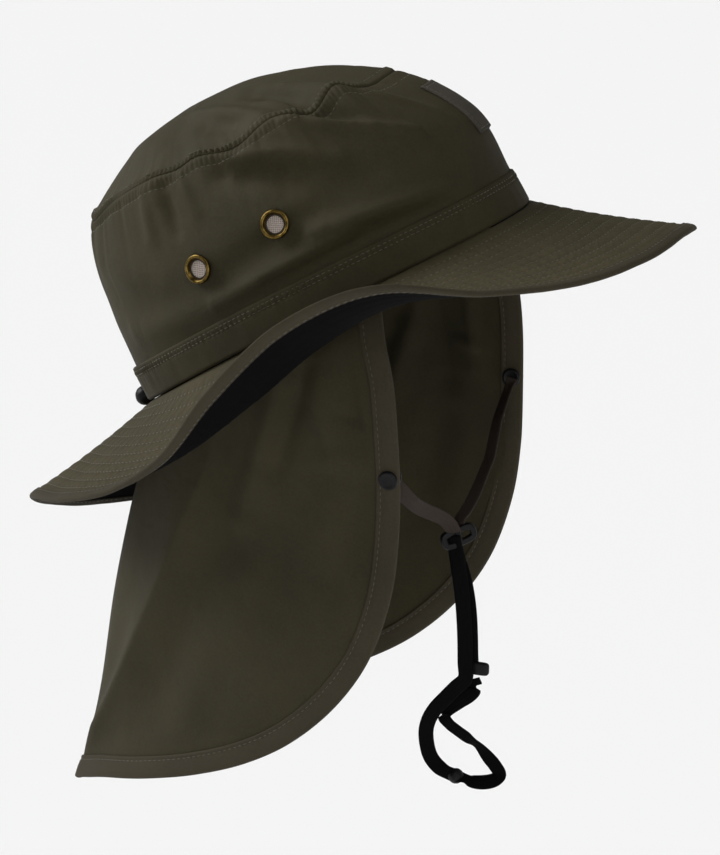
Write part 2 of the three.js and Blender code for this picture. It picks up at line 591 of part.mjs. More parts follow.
// A flat strap through rows of centreline points and width directions.
function ribbon(rows, steps) {
  const curve = (from) => new THREE.CatmullRomCurve3(
    rows.map((row) => new THREE.Vector3(...row.slice(from, from + 3))), false, 'centripetal');
  const [path, ways] = [curve(0), curve(3)];
  const rings = Array.from({ length: steps + 1 }, (_, i) => {
    const t = i / steps;
    const [centre, ahead] = [path.getPointAt(t), path.getTangentAt(t)];
    const way = ways.getPoint(path.getUtoTmapping(t));
    const across = way.addScaledVector(ahead, -way.dot(ahead)).setLength(STRAP.width / 2);
    const through = ahead.clone().cross(across).setLength(STRAP.thickness / 2);
    return [[-1, -1], [1, -1], [1, 1], [-1, 1]].map(([w, n]) =>
      centre.clone().addScaledVector(across, w).addScaledVector(through, n));
  });
  const corners = [];
  const quad = (a, b, c, d) => corners.push(a, b, c, a, c, d);
  for (let i = 0; i < steps; i += 1) {
    for (let j = 0; j < 4; j += 1) {
      const k = (j + 1) % 4;
      quad(rings[i][j], rings[i][k], rings[i + 1][k], rings[i + 1][j]);
    }
  }
  const [first, last] = [rings[0], rings[steps]];
  quad(first[0], first[3], first[2], first[1]);
  quad(last[0], last[1], last[2], last[3]);
  return finished(corners);
}

function buildChinStrap() {
  for (const { name, rows, steps } of STRAP_ROUTES) {
    addPiece(hangingGroup, name, ribbon(rows, steps), ELASTIC);
  }
  const { x, z, width, height, thickness, slotWidth, slotHeight } = SLIDER;
  const outline = roundedRectangle(new THREE.Shape(), 0, width, height, 2.2);
  for (const way of [-1, 1]) {
    const middle = way * SLIDER.slotOffset;
    outline.holes.push(roundedRectangle(new THREE.Path(), middle, slotWidth, slotHeight, 0.6));
  }
  const plate = { depth: thickness, bevelEnabled: false, curveSegments: 2 };
  const slider = new THREE.ExtrudeGeometry(outline, plate);
  slider.translate(0, 0, -thickness / 2).rotateX(Math.PI / 2);
  slider.rotateY(-radians(SLIDER.tilt)).rotateZ(radians(SLIDER.turn));
  addPiece(hangingGroup, 'strap_slider', slider, PLASTIC).position.set(x, 0, z);

  const tab = new THREE.ExtrudeGeometry(
    roundedRectangle(new THREE.Shape(), 0, END_TAB.width, END_TAB.height, 1.2),
    { depth: END_TAB.thickness, bevelEnabled: false, curveSegments: 2 },
  );
  tab.translate(0, 0, -END_TAB.thickness / 2).rotateX(Math.PI / 2);
  addPiece(hangingGroup, 'strap_end_tab', tab, PLASTIC).position.set(END_TAB.x, END_TAB.y, END_TAB.z);

  const bead = new THREE.SphereGeometry(BEAD.radius, 12, 8);
  addPiece(hangingGroup, 'strap_bead', bead, PLASTIC).position.set(BEAD.x, 0, BEAD.z);
}

function roundedRectangle(path, centreX, width, height, radius) {
  const [w, h] = [width / 2, height / 2];
  path.moveTo(centreX - w + radius, -h);
  path.lineTo(centreX + w - radius, -h);
  path.absarc(centreX + w - radius, -h + radius, radius, -Math.PI / 2, 0, false);
  path.absarc(centreX + w - radius, h - radius, radius, 0, Math.PI / 2, false);
  path.absarc(centreX - w + radius, h - radius, radius, Math.PI / 2, Math.PI, false);
  path.absarc(centreX - w + radius, -h + radius, radius, Math.PI, Math.PI * 1.5, false);
  return path;
}

// The toggle of the size-adjusting cord sits behind the band at the centre back.
function buildStopper() {
  const ball = new THREE.SphereGeometry(STOPPER.radius, 12, 8);
  addPiece(hatGroup, 'rear_stopper', ball, PLASTIC).position.set(STOPPER.x, 0, STOPPER.height);
  const bandBack = -HEAD.halfLength - CLOTH.band - 3 * GAP - 0.6;
  const length = bandBack - (STOPPER.x + STOPPER.radius + GAP);
  const cord = new THREE.CylinderGeometry(STOPPER.cordRadius, STOPPER.cordRadius, length, 8);
  cord.rotateZ(Math.PI / 2);
  addPiece(hatGroup, 'stopper_cord', cord, ELASTIC).position.set(bandBack - length / 2, 0, STOPPER.height);
}

buildCrown();
buildEyelets();
buildBrim();
buildFlap();
buildHem();
buildSnaps();
buildChinStrap();
buildStopper();

const hat = new THREE.Group();
hat.add(hatGroup, hangingGroup);
export default hat;
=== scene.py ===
# %% [markdown]
# # A sun hat with a neck flap
#
# The hat is olive nylon: a crown with a puckered top seam, a stitched brim that waves up at the
# sides, a flap that hangs round the neck, and a flat elastic chin strap with a slider. The packed
# solids give the sizes. This lesson dresses them in cloth, thread, brass and elastic, one piece
# at a time, and every piece is a surface worked out with numpy from a short table.

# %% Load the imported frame
import math
import bmesh
import bpy
import numpy as np
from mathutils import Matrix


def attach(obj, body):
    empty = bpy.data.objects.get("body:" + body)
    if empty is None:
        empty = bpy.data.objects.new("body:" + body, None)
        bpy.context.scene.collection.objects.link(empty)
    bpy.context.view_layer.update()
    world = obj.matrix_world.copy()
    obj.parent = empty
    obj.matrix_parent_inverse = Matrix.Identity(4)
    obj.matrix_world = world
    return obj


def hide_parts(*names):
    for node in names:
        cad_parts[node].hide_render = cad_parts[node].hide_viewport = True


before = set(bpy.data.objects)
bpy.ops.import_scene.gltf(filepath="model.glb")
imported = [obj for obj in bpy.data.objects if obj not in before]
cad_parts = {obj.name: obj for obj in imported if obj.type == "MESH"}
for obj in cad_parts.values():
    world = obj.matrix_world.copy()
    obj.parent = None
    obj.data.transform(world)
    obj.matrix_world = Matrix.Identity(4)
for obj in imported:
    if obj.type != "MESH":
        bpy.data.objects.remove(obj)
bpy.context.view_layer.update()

# %% [markdown]
# ## The camera
# The photograph looks at the hat's right front from a little above. A long lens a metre and a half
# away keeps the brim's curves honest. The camera is placed on a line from a target point, and the
# lens length follows from the picture's scale: lens = scale * distance * sensor / picture height.

# %% Camera
MM = 0.001
AZIMUTH, ELEVATION = math.radians(21), math.radians(17)
DISTANCE = 1.5
PIXELS_PER_MM, PICTURE_HEIGHT, SENSOR = 2.22, 855, 36
toward = np.array([math.sin(AZIMUTH) * math.cos(ELEVATION),
                   -math.cos(AZIMUTH) * math.cos(ELEVATION), math.sin(ELEVATION)])
rightward = np.array([math.cos(AZIMUTH), math.sin(AZIMUTH), 0.0])
upward = np.cross(toward, rightward)
target = 0.00987 * rightward - 0.05836 * upward

camera = bpy.data.objects.new("camera", bpy.data.cameras.new("camera"))
bpy.context.scene.collection.objects.link(camera)
camera.location = target + DISTANCE * toward
camera.rotation_euler = (math.pi / 2 - ELEVATION, 0, AZIMUTH)
camera.data.sensor_width = SENSOR
camera.data.lens = PIXELS_PER_MM * DISTANCE / MM * SENSOR / PICTURE_HEIGHT
bpy.context.scene.camera = camera
print("camera at", np.round(camera.location, 3).tolist(), "lens", round(camera.data.lens, 1))

# %% [markdown]
# ## Helpers for meshes
# A surface here is a grid of points `points[column, row]`. A grid can close on itself round the
# hat, and can shrink to one point at a pole. Building it with `foreach_set` moves whole arrays at
# once, which is much faster than adding faces one by one. The UV map is in millimetres along the
# cloth, so a weave keeps its true size wherever the cloth goes.

# %% Surface builder
def fill_mesh(name, points, loops, sizes, uv):
    """A mesh from vertices in millimetres, corner indices, corners per face, and UV per corner."""
    mesh = bpy.data.meshes.new(name)
    mesh.vertices.add(len(points))
    mesh.vertices.foreach_set("co", (points * MM).astype(np.float32).ravel())
    mesh.loops.add(len(loops))
    mesh.loops.foreach_set("vertex_index", loops.astype(np.int32))
    mesh.polygons.add(len(sizes))
    starts = np.concatenate([[0], np.cumsum(sizes)[:-1]]).astype(np.int32)
    mesh.polygons.foreach_set("loop_start", starts)
    mesh.polygons.foreach_set("use_smooth", np.ones(len(sizes), bool))
    layer = mesh.uv_layers.new(name="cloth_mm")
    layer.data.foreach_set("uv", uv.astype(np.float32).ravel())
    mesh.update(calc_edges=True)
    piece = bpy.data.objects.new(name, mesh)
    bpy.context.scene.collection.objects.link(piece)
    return piece


def surface(name, points, uv, wrapped=False, pole=None, flip=False):
    """A grid of quads: face (i, j) joins columns i and i + 1 and rows j and j + 1. uv has one more
    column than points when the grid is wrapped, so the pattern doesn't run back at the join."""
    columns, rows = points.shape[:2]
    across = columns if wrapped else columns - 1
    i, j = [a.ravel() for a in np.meshgrid(np.arange(across), np.arange(rows - 1), indexing="ij")]
    corner_i = np.stack([i, i + 1, i + 1, i], 1)
    corner_j = np.stack([j, j, j + 1, j + 1], 1)
    if flip:
        corner_i, corner_j = corner_i[:, ::-1], corner_j[:, ::-1]
    loops = ((corner_i % columns) * rows + corner_j).ravel()
    corner_uv = uv[corner_i.ravel(), corner_j.ravel()]
    sizes = np.full(len(i), 4)
    flat = points.reshape(-1, 3)
    if pole is not None:
        k = np.arange(across)
        fan = np.stack([k * rows, np.full(across, len(flat)), ((k + 1) % columns) * rows], 1)
        if flip:
            fan = fan[:, ::-1]
        loops = np.concatenate([loops, fan.ravel()])
        corner_uv = np.concatenate([corner_uv, np.repeat(uv[k, 0], 3, axis=0)])
        sizes = np.concatenate([sizes, np.full(across, 3)])
        flat = np.concatenate([flat, [pole]])
    return fill_mesh(name, flat, loops, sizes, corner_uv)


def grid_normals(points, wrapped=False):
    """Unit normals: the cross product of the steps to the next column and to the next row."""
    if wrapped:
        along = np.roll(points, -1, axis=0) - np.roll(points, 1, axis=0)
    else:
        along = np.gradient(points, axis=0)
    normal = np.cross(along, np.gradient(points, axis=1))
    return normal / np.maximum(np.linalg.norm(normal, axis=2, keepdims=True), 1e-9)


def unit(vectors):
    return vectors / np.linalg.norm(vectors, axis=-1, keepdims=True)


def grid_uv(along, across):
    """The UV of a grid: distance along it by column and across it by row, in millimetres."""
    return np.stack(np.broadcast_arrays(along[:, None], across[None, :]), -1)


def lifted(points, height, wrapped=False, side=1):
    """Each point moves out along its normal by height, in millimetres."""
    return points + side * grid_normals(points, wrapped) * height[..., None]


def arc_lengths(line, closed=False):
    """Distance along a line of points, starting from 0, with the closing step added if closed."""
    steps = np.diff(line, axis=0, append=line[:1] if closed else line[-1:])
    lengths = np.concatenate([[0], np.cumsum(np.linalg.norm(steps, axis=1))])
    return lengths if closed else lengths[:-1]


# %% [markdown]
# A finished piece gets its material, rides with the hat's one body, and hides the plain solid it
# stands for. The hat has no joints: cloth and elastic bend, and nothing turns on a pin.

# %% Finishing a piece
def dress(piece, material, slot, *nodes):
    piece.data.materials.append(material)
    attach(piece, "root")
    if nodes:
        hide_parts(*nodes)
    print(f"{piece.name}: {len(piece.data.polygons)} faces")
    return piece


def thicken(piece, thickness):
    """Cloth has two faces: Solidify adds the inner one, `thickness` millimetres behind the outer."""
    wall = piece.modifiers.new("thickness", "SOLIDIFY")
    wall.thickness, wall.offset = thickness * MM, -1
    return piece


def join_arrays(parts):
    """Stacks (points, loops, sizes, uv) sets into one, shifting the corner indices."""
    offsets = np.concatenate([[0], np.cumsum([len(p[0]) for p in parts])[:-1]])
    return (np.concatenate([p[0] for p in parts]),
            np.concatenate([p[1] + o for p, o in zip(parts, offsets)]),
            np.concatenate([p[2] for p in parts]), np.concatenate([p[3] for p in parts]))


# %% [markdown]
# ## Tables
# A table holds a few rows of numbers, and the shape eases through them. Each row's slope is taken
# from its neighbours, which is the cubic Hermite rule. It gives soft cloth curves from a handful
# of measured sections.

# %% Reading a table
def ease(keys, values, at):
    """Cubic Hermite through (keys, values): slope at a row = rise over run between its neighbours."""
    order = np.argsort(keys)
    keys, values = np.asarray(keys, float)[order], np.asarray(values, float)[order]
    slopes = np.empty_like(values)
    slopes[1:-1] = (values[2:] - values[:-2]) / (keys[2:] - keys[:-2])
    slopes[0] = (values[1] - values[0]) / (keys[1] - keys[0])
    slopes[-1] = (values[-1] - values[-2]) / (keys[-1] - keys[-2])
    at = np.clip(at, keys[0], keys[-1])
    k = np.clip(np.searchsorted(keys, at) - 1, 0, len(keys) - 2)
    span = keys[k + 1] - keys[k]
    t = (at - keys[k]) / span
    return ((2 * t**3 - 3 * t**2 + 1) * values[k] + (t**3 - 2 * t**2 + t) * slopes[k] * span
            + (3 * t**2 - 2 * t**3) * values[k + 1] + (t**3 - t**2) * slopes[k + 1] * span)


def bell(distance, width):
    """A soft bump: e to the minus (distance / width) squared."""
    return np.exp(-(distance / width) ** 2)


PITCH = math.radians(30.3)


def worn(points):
    """Turns hat-frame points, crown upright, to the worn position: nose up by PITCH about Y."""
    x, y, z = points[..., 0], points[..., 1], points[..., 2]
    return np.stack([x * math.cos(PITCH) - z * math.sin(PITCH), y,
                     x * math.sin(PITCH) + z * math.cos(PITCH)], -1)


# %% [markdown]
# ## Helpers for materials
# A material is a small node tree. One function adds a node and wires its inputs, and one turns a
# screen colour such as #3a382d into the linear values that the renderer adds up.

# %% Material helpers
def linear(hex_colour):
    """sRGB hex to linear RGBA: c / 12.92 below 0.04045, else ((c + 0.055) / 1.055) to the 2.4."""
    c = np.array([int(hex_colour[i:i + 2], 16) / 255 for i in (1, 3, 5)])
    c = np.where(c <= 0.04045, c / 12.92, ((c + 0.055) / 1.055) ** 2.4)
    return (*c.tolist(), 1.0)


def add_node(tree, kind, inputs=(), stops=(), to=None, **settings):
    """Adds a node and sets its properties. inputs are values or other nodes' outputs, stops are the
    (position, hex colour) pairs of a colour ramp, and to is the socket that the result goes to."""
    node = tree.nodes.new(kind)
    for name, value in settings.items():
        setattr(node, name, value)
    for element, (position, colour) in zip(node.color_ramp.elements if stops else (), stops):
        element.position, element.color = position, linear(colour)
    for socket, value in dict(inputs).items():
        if isinstance(value, bpy.types.NodeSocket):
            tree.links.new(value, node.inputs[socket])
        else:
            node.inputs[socket].default_value = value
    if to is not None:
        tree.links.new(node.outputs[0], to)
    return node.outputs[0]


def start_material(name, **sockets):
    """A Principled shader whose plain values are set on its own sockets."""
    material = bpy.data.materials.new(name)
    material.use_nodes = True
    tree = material.node_tree
    shader = tree.nodes["Principled BSDF"]
    for socket, value in sockets.items():
        shader.inputs[socket.replace("_", " ")].default_value = value
    return material, tree, shader


# %% [markdown]
# ## Cloth
# The hat is tightly woven microfibre nylon with a faint satin sheen. Up close, warp and weft cross
# as a checker of tiny bumps, so the relief is the product of two sines, one along each thread
# direction. Farther away the eye sees only slow cloudy changes of shade and small creases, which
# are two noises of different sizes. Painting an image would fix one distance; noise works at all.
#
# The brim's nylon is the same cloth painted a shade lighter: painted light for its upward face,
# which catches the key light. The binding is a finer twill tape. The lining is a matt black weave
# that swallows light, and the patch is a dense charcoal weave with threads thick enough to see.

# %% Cloth material
CO, NOISE, MATH, BUMP, RAMP = ["ShaderNode" + kind for kind in
                               ("TexCoord", "TexNoise", "Math", "Bump", "ValToRGB")]
UV_MAP, SPLIT = "ShaderNodeUVMap", "ShaderNodeSeparateXYZ"
SHEEN_HEX = "#8d8568"
CLOUDS, CREASES, SLUBS = 22.0, 55.0, 900.0  # features per metre: 45 mm, 18 mm and 1.1 mm


def cloth(name, dark, light, thread=0.55, weave=0.05, creases=0.9, roughness=0.7, sheen=0.07,
          specular=0.15):
    """Colour runs from dark to light by noise; relief = weave sines + crease noise, in millimetres.
    Real threads lie about 0.2 mm apart, too fine to show, so they are drawn thread mm apart."""
    material, tree, shader = start_material(
        name, Roughness=roughness, Sheen_Weight=sheen, Sheen_Roughness=0.45,
        Specular_IOR_Level=specular)
    shader.inputs["Sheen Tint"].default_value = linear(SHEEN_HEX)
    position = add_node(tree, CO).node.outputs["Object"]
    cloudy = add_node(tree, NOISE, {"Vector": position, "Scale": CLOUDS, "Detail": 4.0,
                                    "Roughness": 0.55})
    slubs = add_node(tree, NOISE, {"Vector": position, "Scale": SLUBS, "Detail": 2.0})
    cloud_share = add_node(tree, MATH, {0: cloudy, 1: 0.6}, operation="MULTIPLY")
    shade = add_node(tree, MATH, {0: slubs, 1: 0.4, 2: cloud_share}, operation="MULTIPLY_ADD")
    add_node(tree, RAMP, {"Fac": shade}, [(0.3, dark), (0.7, light)], shader.inputs["Base Color"])

    along = add_node(tree, SPLIT, {0: add_node(tree, UV_MAP, uv_map="cloth_mm")}).node.outputs
    warp, weft = [add_node(tree, MATH, {0: add_node(tree, MATH, {0: along[k], 1: 2 * math.pi / thread},
                                                    operation="MULTIPLY")}, operation="SINE")
                  for k in (0, 1)]
    threads = add_node(tree, MATH, {0: warp, 1: weft}, operation="MULTIPLY")
    folds = add_node(tree, NOISE, {"Vector": position, "Scale": CREASES, "Detail": 3.0,
                                   "Distortion": 0.6})
    creased = add_node(tree, MATH, {0: folds, 1: creases}, operation="MULTIPLY")
    relief = add_node(tree, MATH, {0: threads, 1: weave, 2: creased}, operation="MULTIPLY_ADD")
    add_node(tree, BUMP, {"Height": relief, "Strength": 1.0, "Distance": MM},
             to=shader.inputs["Normal"])
    return material


olive_cloth = cloth("olive_microfibre_nylon", "#2b271a", "#393422")
# painted light: the brim's colours are a lighter copy of the crown's olive, standing for the light its
# upward face catches
brim_cloth_painted_lighter = cloth("olive_brim_nylon_painted_lighter", "#343020", "#443e2b")
tape_cloth = cloth("olive_binding_tape", "#302c20", "#3e382b", thread=0.45, creases=0.3)
black_cloth = cloth("black_lining_nylon", "#070607", "#0b090b", creases=0.3, sheen=0.0,
                    roughness=0.9, specular=0.05)
label_cloth = cloth("charcoal_woven_patch", "#3b3731", "#4c4740", thread=0.9, weave=0.16,
                    creases=0.05, roughness=0.8)
print("cloth materials:", olive_cloth.name, tape_cloth.name, black_cloth.name, label_cloth.name)

# %% [markdown]
# Sewing thread is twisted polyester, a little lighter and shinier than the cloth. The elastic of
# the chin strap is a braid with fine cross ribs, so its relief is a sine along its length; the two
# strap stretches get a lighter brownish copy of the black elastic, painted light for the light they
# catch. Eyelets are antique brass: warm metal, darker in patches where it has aged. The throat inside
# each ring is a darker brass, painted shade for the shadow in its barrel. The moulded pieces are
# matt black plastic with a fine grain.

# %% Thread, elastic, brass and plastic
def plain_material(name, dark, light, scale, relief, distance, **sockets):
    """Colour and relief both come from one noise of the given scale, in features per metre."""
    material, tree, shader = start_material(name, **sockets)
    position = add_node(tree, CO).node.outputs["Object"]
    noise = add_node(tree, NOISE, {"Vector": position, "Scale": scale, "Detail": 4.0, "Roughness": 0.6})
    add_node(tree, RAMP, {"Fac": noise}, [(0.35, dark), (0.65, light)], shader.inputs["Base Color"])
    add_node(tree, BUMP, {"Height": noise, "Strength": relief, "Distance": distance * MM},
             to=shader.inputs["Normal"])
    return material


thread_olive = plain_material("olive_polyester_thread", "#37331f", "#474231", 2500, 0.5, 0.08,
                              Roughness=0.5, Sheen_Weight=0.3)
antique_brass = plain_material("antique_brass", "#3f3316", "#7c6634", 420, 0.25, 0.06,
                               Metallic=1.0, Roughness=0.34)
# painted shade: this darker brass lines each eyelet's throat and stands for the shadow inside the ring's
# barrel
throat_brass_painted_shade = plain_material("dark_brass_painted_shade", "#1d1810", "#3c3220", 900, 0.5, 0.08,
                            Metallic=0.6, Roughness=0.6)
matt_plastic = plain_material("matt_black_plastic", "#0c0b0c", "#141314", 1800, 0.4, 0.05,
                              Roughness=0.45, Specular_IOR_Level=0.16)


def ribbed_elastic(name, dark, light, rib=0.7, slant=5.0):
    """Braided elastic: colour and relief are one sine along the strap, slanted across its width."""
    material, tree, shader = start_material(name, Roughness=0.8, Specular_IOR_Level=0.05)
    uv = add_node(tree, SPLIT, {0: add_node(tree, UV_MAP, uv_map="cloth_mm")}).node.outputs
    phase = add_node(tree, MATH, {0: uv[1], 1: slant}, operation="MULTIPLY")
    phase = add_node(tree, MATH, {0: uv[0], 1: 2 * math.pi / rib, 2: phase}, operation="MULTIPLY_ADD")
    zigzag = add_node(tree, MATH, {0: phase}, operation="SINE")
    share = add_node(tree, MATH, {0: zigzag, 1: 0.5, 2: 0.5}, operation="MULTIPLY_ADD")
    add_node(tree, RAMP, {"Fac": share}, [(0.0, dark), (1.0, light)], shader.inputs["Base Color"])
    add_node(tree, BUMP, {"Height": zigzag, "Strength": 0.6, "Distance": 0.07 * MM},
             to=shader.inputs["Normal"])
    return material


def netting(name, pitch=0.9):
    """Vent netting: threads where either sine is near zero, with dark holes between them. The real
    net's pitch is about 0.5 mm; it is drawn coarser so that it shows."""
    material, tree, shader = start_material(name, Roughness=0.85)
    uv = add_node(tree, SPLIT, {0: add_node(tree, UV_MAP, uv_map="cloth_mm")}).node.outputs
    wave = []
    for k in (0, 1):
        turn = add_node(tree, MATH, {0: uv[k], 1: math.pi / pitch}, operation="MULTIPLY")
        sine = add_node(tree, MATH, {0: turn}, operation="SINE")
        wave.append(add_node(tree, MATH, {0: sine}, operation="ABSOLUTE"))
    hole = add_node(tree, MATH, {0: wave[0], 1: wave[1]}, operation="MULTIPLY")
    add_node(tree, RAMP, {"Fac": hole}, [(0.35, "#a59a91"), (0.8, "#6f655e")],
             shader.inputs["Base Color"])
    add_node(tree, BUMP, {"Height": hole, "Strength": 0.8, "Distance": 0.2 * MM},
             to=shader.inputs["Normal"], invert=True)
    return material


black_elastic = ribbed_elastic("black_braided_elastic", "#050505", "#0b0a0b")
# painted light: a lighter brownish copy of the black elastic for the two strap stretches, standing for the
# light they catch
strap_elastic_painted_light = ribbed_elastic("black_braided_elastic_painted_lighter", "#251f1c", "#433b35")
vent_netting = netting("grey_vent_netting")
print("trim materials:", thread_olive.name, antique_brass.name, matt_plastic.name)

# %% [markdown]
# ## Stitches
# A machine stitch shows as a short grain of thread that dives into the cloth at both ends. Each is
# a six-sided spindle: its radius follows the square root of a sine along its length. All the
# stitches of a seam are one mesh, repeated along a line by arc length.

# %% Stitch rows
def stitch_set(line, normals, pitch=2.7, length=1.9, radius=0.2, closed=False, start=0.0):
    """Spindles along a line: ring k of a stitch lies at length * (k/3 - 1/2) and has the radius
    radius * sqrt(sin(pi k/3)), flattened at the ends, and every stitch sits half into the cloth."""
    far = arc_lengths(line, closed)
    if closed:
        line, normals = np.concatenate([line, line[:1]]), np.concatenate([normals, normals[:1]])
    count = int((far[-1] - start) // pitch)
    middle = start + (np.arange(count) + 0.5) * pitch

    def read(values, at):
        return np.stack([np.interp(at, far, values[:, k]) for k in range(3)], -1)

    centre = read(line, middle)
    forward = unit(read(line, middle + length / 2) - read(line, middle - length / 2))
    up = read(normals, middle)
    up = unit(up - forward * np.sum(up * forward, axis=1, keepdims=True))
    side = np.cross(forward, up)
    sides, rings = 6, 4
    k = np.arange(rings) / (rings - 1)
    bulge = radius * np.sqrt(np.maximum(np.sin(np.pi * k), 0.05))
    turn = np.arange(sides) * 2 * np.pi / sides
    ring = (centre[:, None, None] + forward[:, None, None] * (length * (k - 0.5))[None, :, None, None]
            + side[:, None, None] * (bulge[:, None] * np.cos(turn))[None, :, :, None]
            + up[:, None, None] * (bulge[:, None] * (0.25 + np.sin(turn)))[None, :, :, None])
    points = ring.reshape(-1, 3)
    i, j = [a.ravel() for a in np.meshgrid(np.arange(rings - 1), np.arange(sides), indexing="ij")]
    quads = np.stack([i * sides + j, i * sides + (j + 1) % sides,
                      (i + 1) * sides + (j + 1) % sides, (i + 1) * sides + j], 1)
    base = (np.arange(count) * rings * sides)[:, None, None]
    loops = (quads[None, :, ::-1] + base).reshape(-1)
    caps = np.stack([np.arange(sides), np.arange(sides)[::-1] + (rings - 1) * sides])
    loops = np.concatenate([loops, (caps[None] + base).reshape(-1)])
    sizes = np.concatenate([np.full(count * len(quads), 4), np.full(count * 2, sides)])
    return points, loops, sizes, np.zeros((len(loops), 2))


def stitches(name, rows, material, slot):
    """Several stitch rows as one piece."""
    return dress(fill_mesh(name, *join_arrays(rows)), material, slot)


# %% [markdown]
# ## The crown wall
# The wall is a ring of cloth that starts as an ellipse at the head opening and draws in as it
# rises. The table gives how far it has drawn in at the front, sides and back. Where the flat top
# is sewn on, the seam wanders up and down in soft folds; a second table gives that rise by angle,
# worked out from the photograph for the near side.

# %% Crown tables
HEAD = dict(half_length=99.6, half_width=81.4, dip=2.0)
CROWN = np.array([  # height, drawn in at the front, side and back
    (0, 2, 0, 0), (18, 2.2, 0.4, 0.4), (36, 1.4, 1.6, 2.4), (48, 3, 3.4, 4.2), (58, 7.2, 5.8, 5.2),
    (67, 12.8, 8.6, 7), (76, 19.6, 12, 10.2), (84, 28, 15.8, 15)])
TOP, SEAM_DIP = 84.0, 9.5
WALL_COLUMNS, CLOTH_THICK, THIN_CLOTH, ROW_RADIUS = 900, 1.1, 0.9, 0.17
SEAM_RISE = np.array([  # angle from the front (the wearer's right is negative), rise of the seam
    (-180, 0), (-166, 0.8), (-147, -1.6), (-126, 1.6), (-105, 2.4), (-96, 0.6), (-88, 1.4), (-76, -2.6),
    (-63, 2.4), (-57, 2.2), (-48, -1.6), (-35, 6.8), (-25, 2.8), (-13, 1.6), (0, 2.6), (14, 2.6),
    (27, 1.6), (38, 0.8), (50, -0.8), (61, 1), (74, -2), (90, 1.4), (104, 2), (124, -1.4), (143, 1.2),
    (163, -0.8), (180, 0)])


def seam_rise(angle):
    turn = np.degrees(np.arctan2(np.sin(angle), np.cos(angle)))
    return ease(SEAM_RISE[:, 0], SEAM_RISE[:, 1], turn)


def crown_point(angle, height, offset=0.0, risen=1.0):
    """x = (half length - drawn) cos a, y = (half width - drawn) sin a, z = height - dip + rise, where
    drawn blends the end column by cos squared and the side column by sin squared."""
    c, s = np.cos(angle), np.sin(angle)
    share = np.clip(height / TOP, 0, 1)
    front, side, back = [ease(CROWN[:, 0], CROWN[:, k], height) for k in (1, 2, 3)]
    pucker = 0.9 * np.sin(9 * angle) * share ** 4
    drawn = np.where(c > 0, front, back) * c * c + side * s * s - pucker - offset
    dip = HEAD["dip"] * np.cos(2 * angle) * (1 - share)
    dip = dip + SEAM_DIP * np.maximum(0, c) ** 2 * share ** 2
    rise = risen * seam_rise(angle) * share ** 6
    return np.stack([(HEAD["half_length"] - drawn) * c, (HEAD["half_width"] - drawn) * s,
                     height - dip + rise], -1)


def gathers(angle, seed):
    """Uneven small folds round a seam: a sum of five sines of unrelated counts."""
    waves = [(19, 0.30, 0.3), (31, 0.26, 1.9), (47, 0.22, 4.1), (73, 0.14, 2.6), (101, 0.08, 5.2)]
    return sum(size * np.sin(count * angle + phase * seed) for count, size, phase in waves)


def fold_line(x, y, start, end, width, size, fade):
    """A fold of cloth along the straight line start-end: a bell of the distance from it. It keeps
    the height it has at the share fade of its length beyond that, towards both ends."""
    dx, dy = end[0] - start[0], end[1] - start[1]
    t = np.clip(((x - start[0]) * dx + (y - start[1]) * dy) / (dx * dx + dy * dy), 0, 1)
    away = np.hypot(x - start[0] - t * dx, y - start[1] - t * dy)
    return size * bell(away, width) * np.sin(np.pi * np.clip(t, fade, 1 - fade)) ** 0.5


# %% [markdown]
# Cloth detail goes in as a small height along the surface's own normal. Near the seam the needle
# has pulled the cloth into ripples one stitch apart; below it, gathers fan down the wall, and a few
# long soft folds cross it where the cloth is pressed. Ripples use sines, folds use bells. All of
# them die out at the seam itself, where wall and top share one edge.

# %% Crown wall
MM_PER_DEGREE = 1.45
SEAM_PITCH, SEAM_ROW, SEAM_HUSH = 2.7, 4.4, 2.6  # stitch length, row's distance and fold-free width
FOLDS = [  # start, end (angle, height), width, size
    ((-58, 83), (-25, 54), 3.4, 6.0), ((-45, 81), (-34, 62), 5.5, -4.6), ((-24, 82), (-9, 58), 3.0, 3.6),
    ((-78, 81), (-50, 58), 3.6, 3.4), ((-82, 74), (-62, 60), 5.5, -5.6), ((-66, 56), (-34, 44), 9, -4.2),
    ((-66, 33), (-27, 24), 4.2, 5.2), ((-82, 21.5), (-32, 18.5), 3.4, -2.8),
    ((-98, 24.5), (-58, 25), 3.6, 3.4), ((-92, 34), (-56, 42), 6, -3.0), ((-132, 30), (-96, 22), 7, 2.6),
    ((-140, 64), (-112, 44), 9, 2.2),
    ((-102, 79), (-101, 60), 3.0, -3.0), ((-108, 80), (-110, 62), 4, 2.0), ((-95, 80), (-93, 64), 3, 1.8),
    ((-24, 44), (-10, 22), 9, -1.8), ((52, 80), (26, 55), 4.5, 4.2), ((104, 25), (44, 21), 4.5, 3.4),
    ((84, 34), (50, 42), 7, -3.2), ((120, 74), (100, 50), 7, 2.8), ((74, 78), (60, 60), 5, -3.4),
    ((-176, 50), (-158, 22), 14, -1.8), ((168, 66), (140, 26), 9, 2.0)]
wall_heights = np.concatenate([np.linspace(0.6, 70, 30), np.linspace(71.4, TOP, 20)])
wall_angles = np.arange(WALL_COLUMNS) * 2 * np.pi / WALL_COLUMNS
angle, height = np.meshgrid(wall_angles, wall_heights, indexing="ij")
signed = (angle + np.pi) % (2 * np.pi) - np.pi
wall = crown_point(angle, height)
below = TOP - height
around = arc_lengths(crown_point(wall_angles, np.full(WALL_COLUMNS, 60.0)), closed=True)
gathered = 0.75 + 0.3 * np.sin(7 * wall_angles + 5.4) + 0.25 * np.sin(13 * wall_angles + 0.4)
turns = 2 * np.pi * around[:-1] / SEAM_PITCH + 2.2 * gathers(wall_angles, 2.0)
slanted = (np.sin(turns[:, None] + 0.55 * below)
           * (0.3 + 0.7 * np.clip(gathered, 0, 1.2))[:, None])
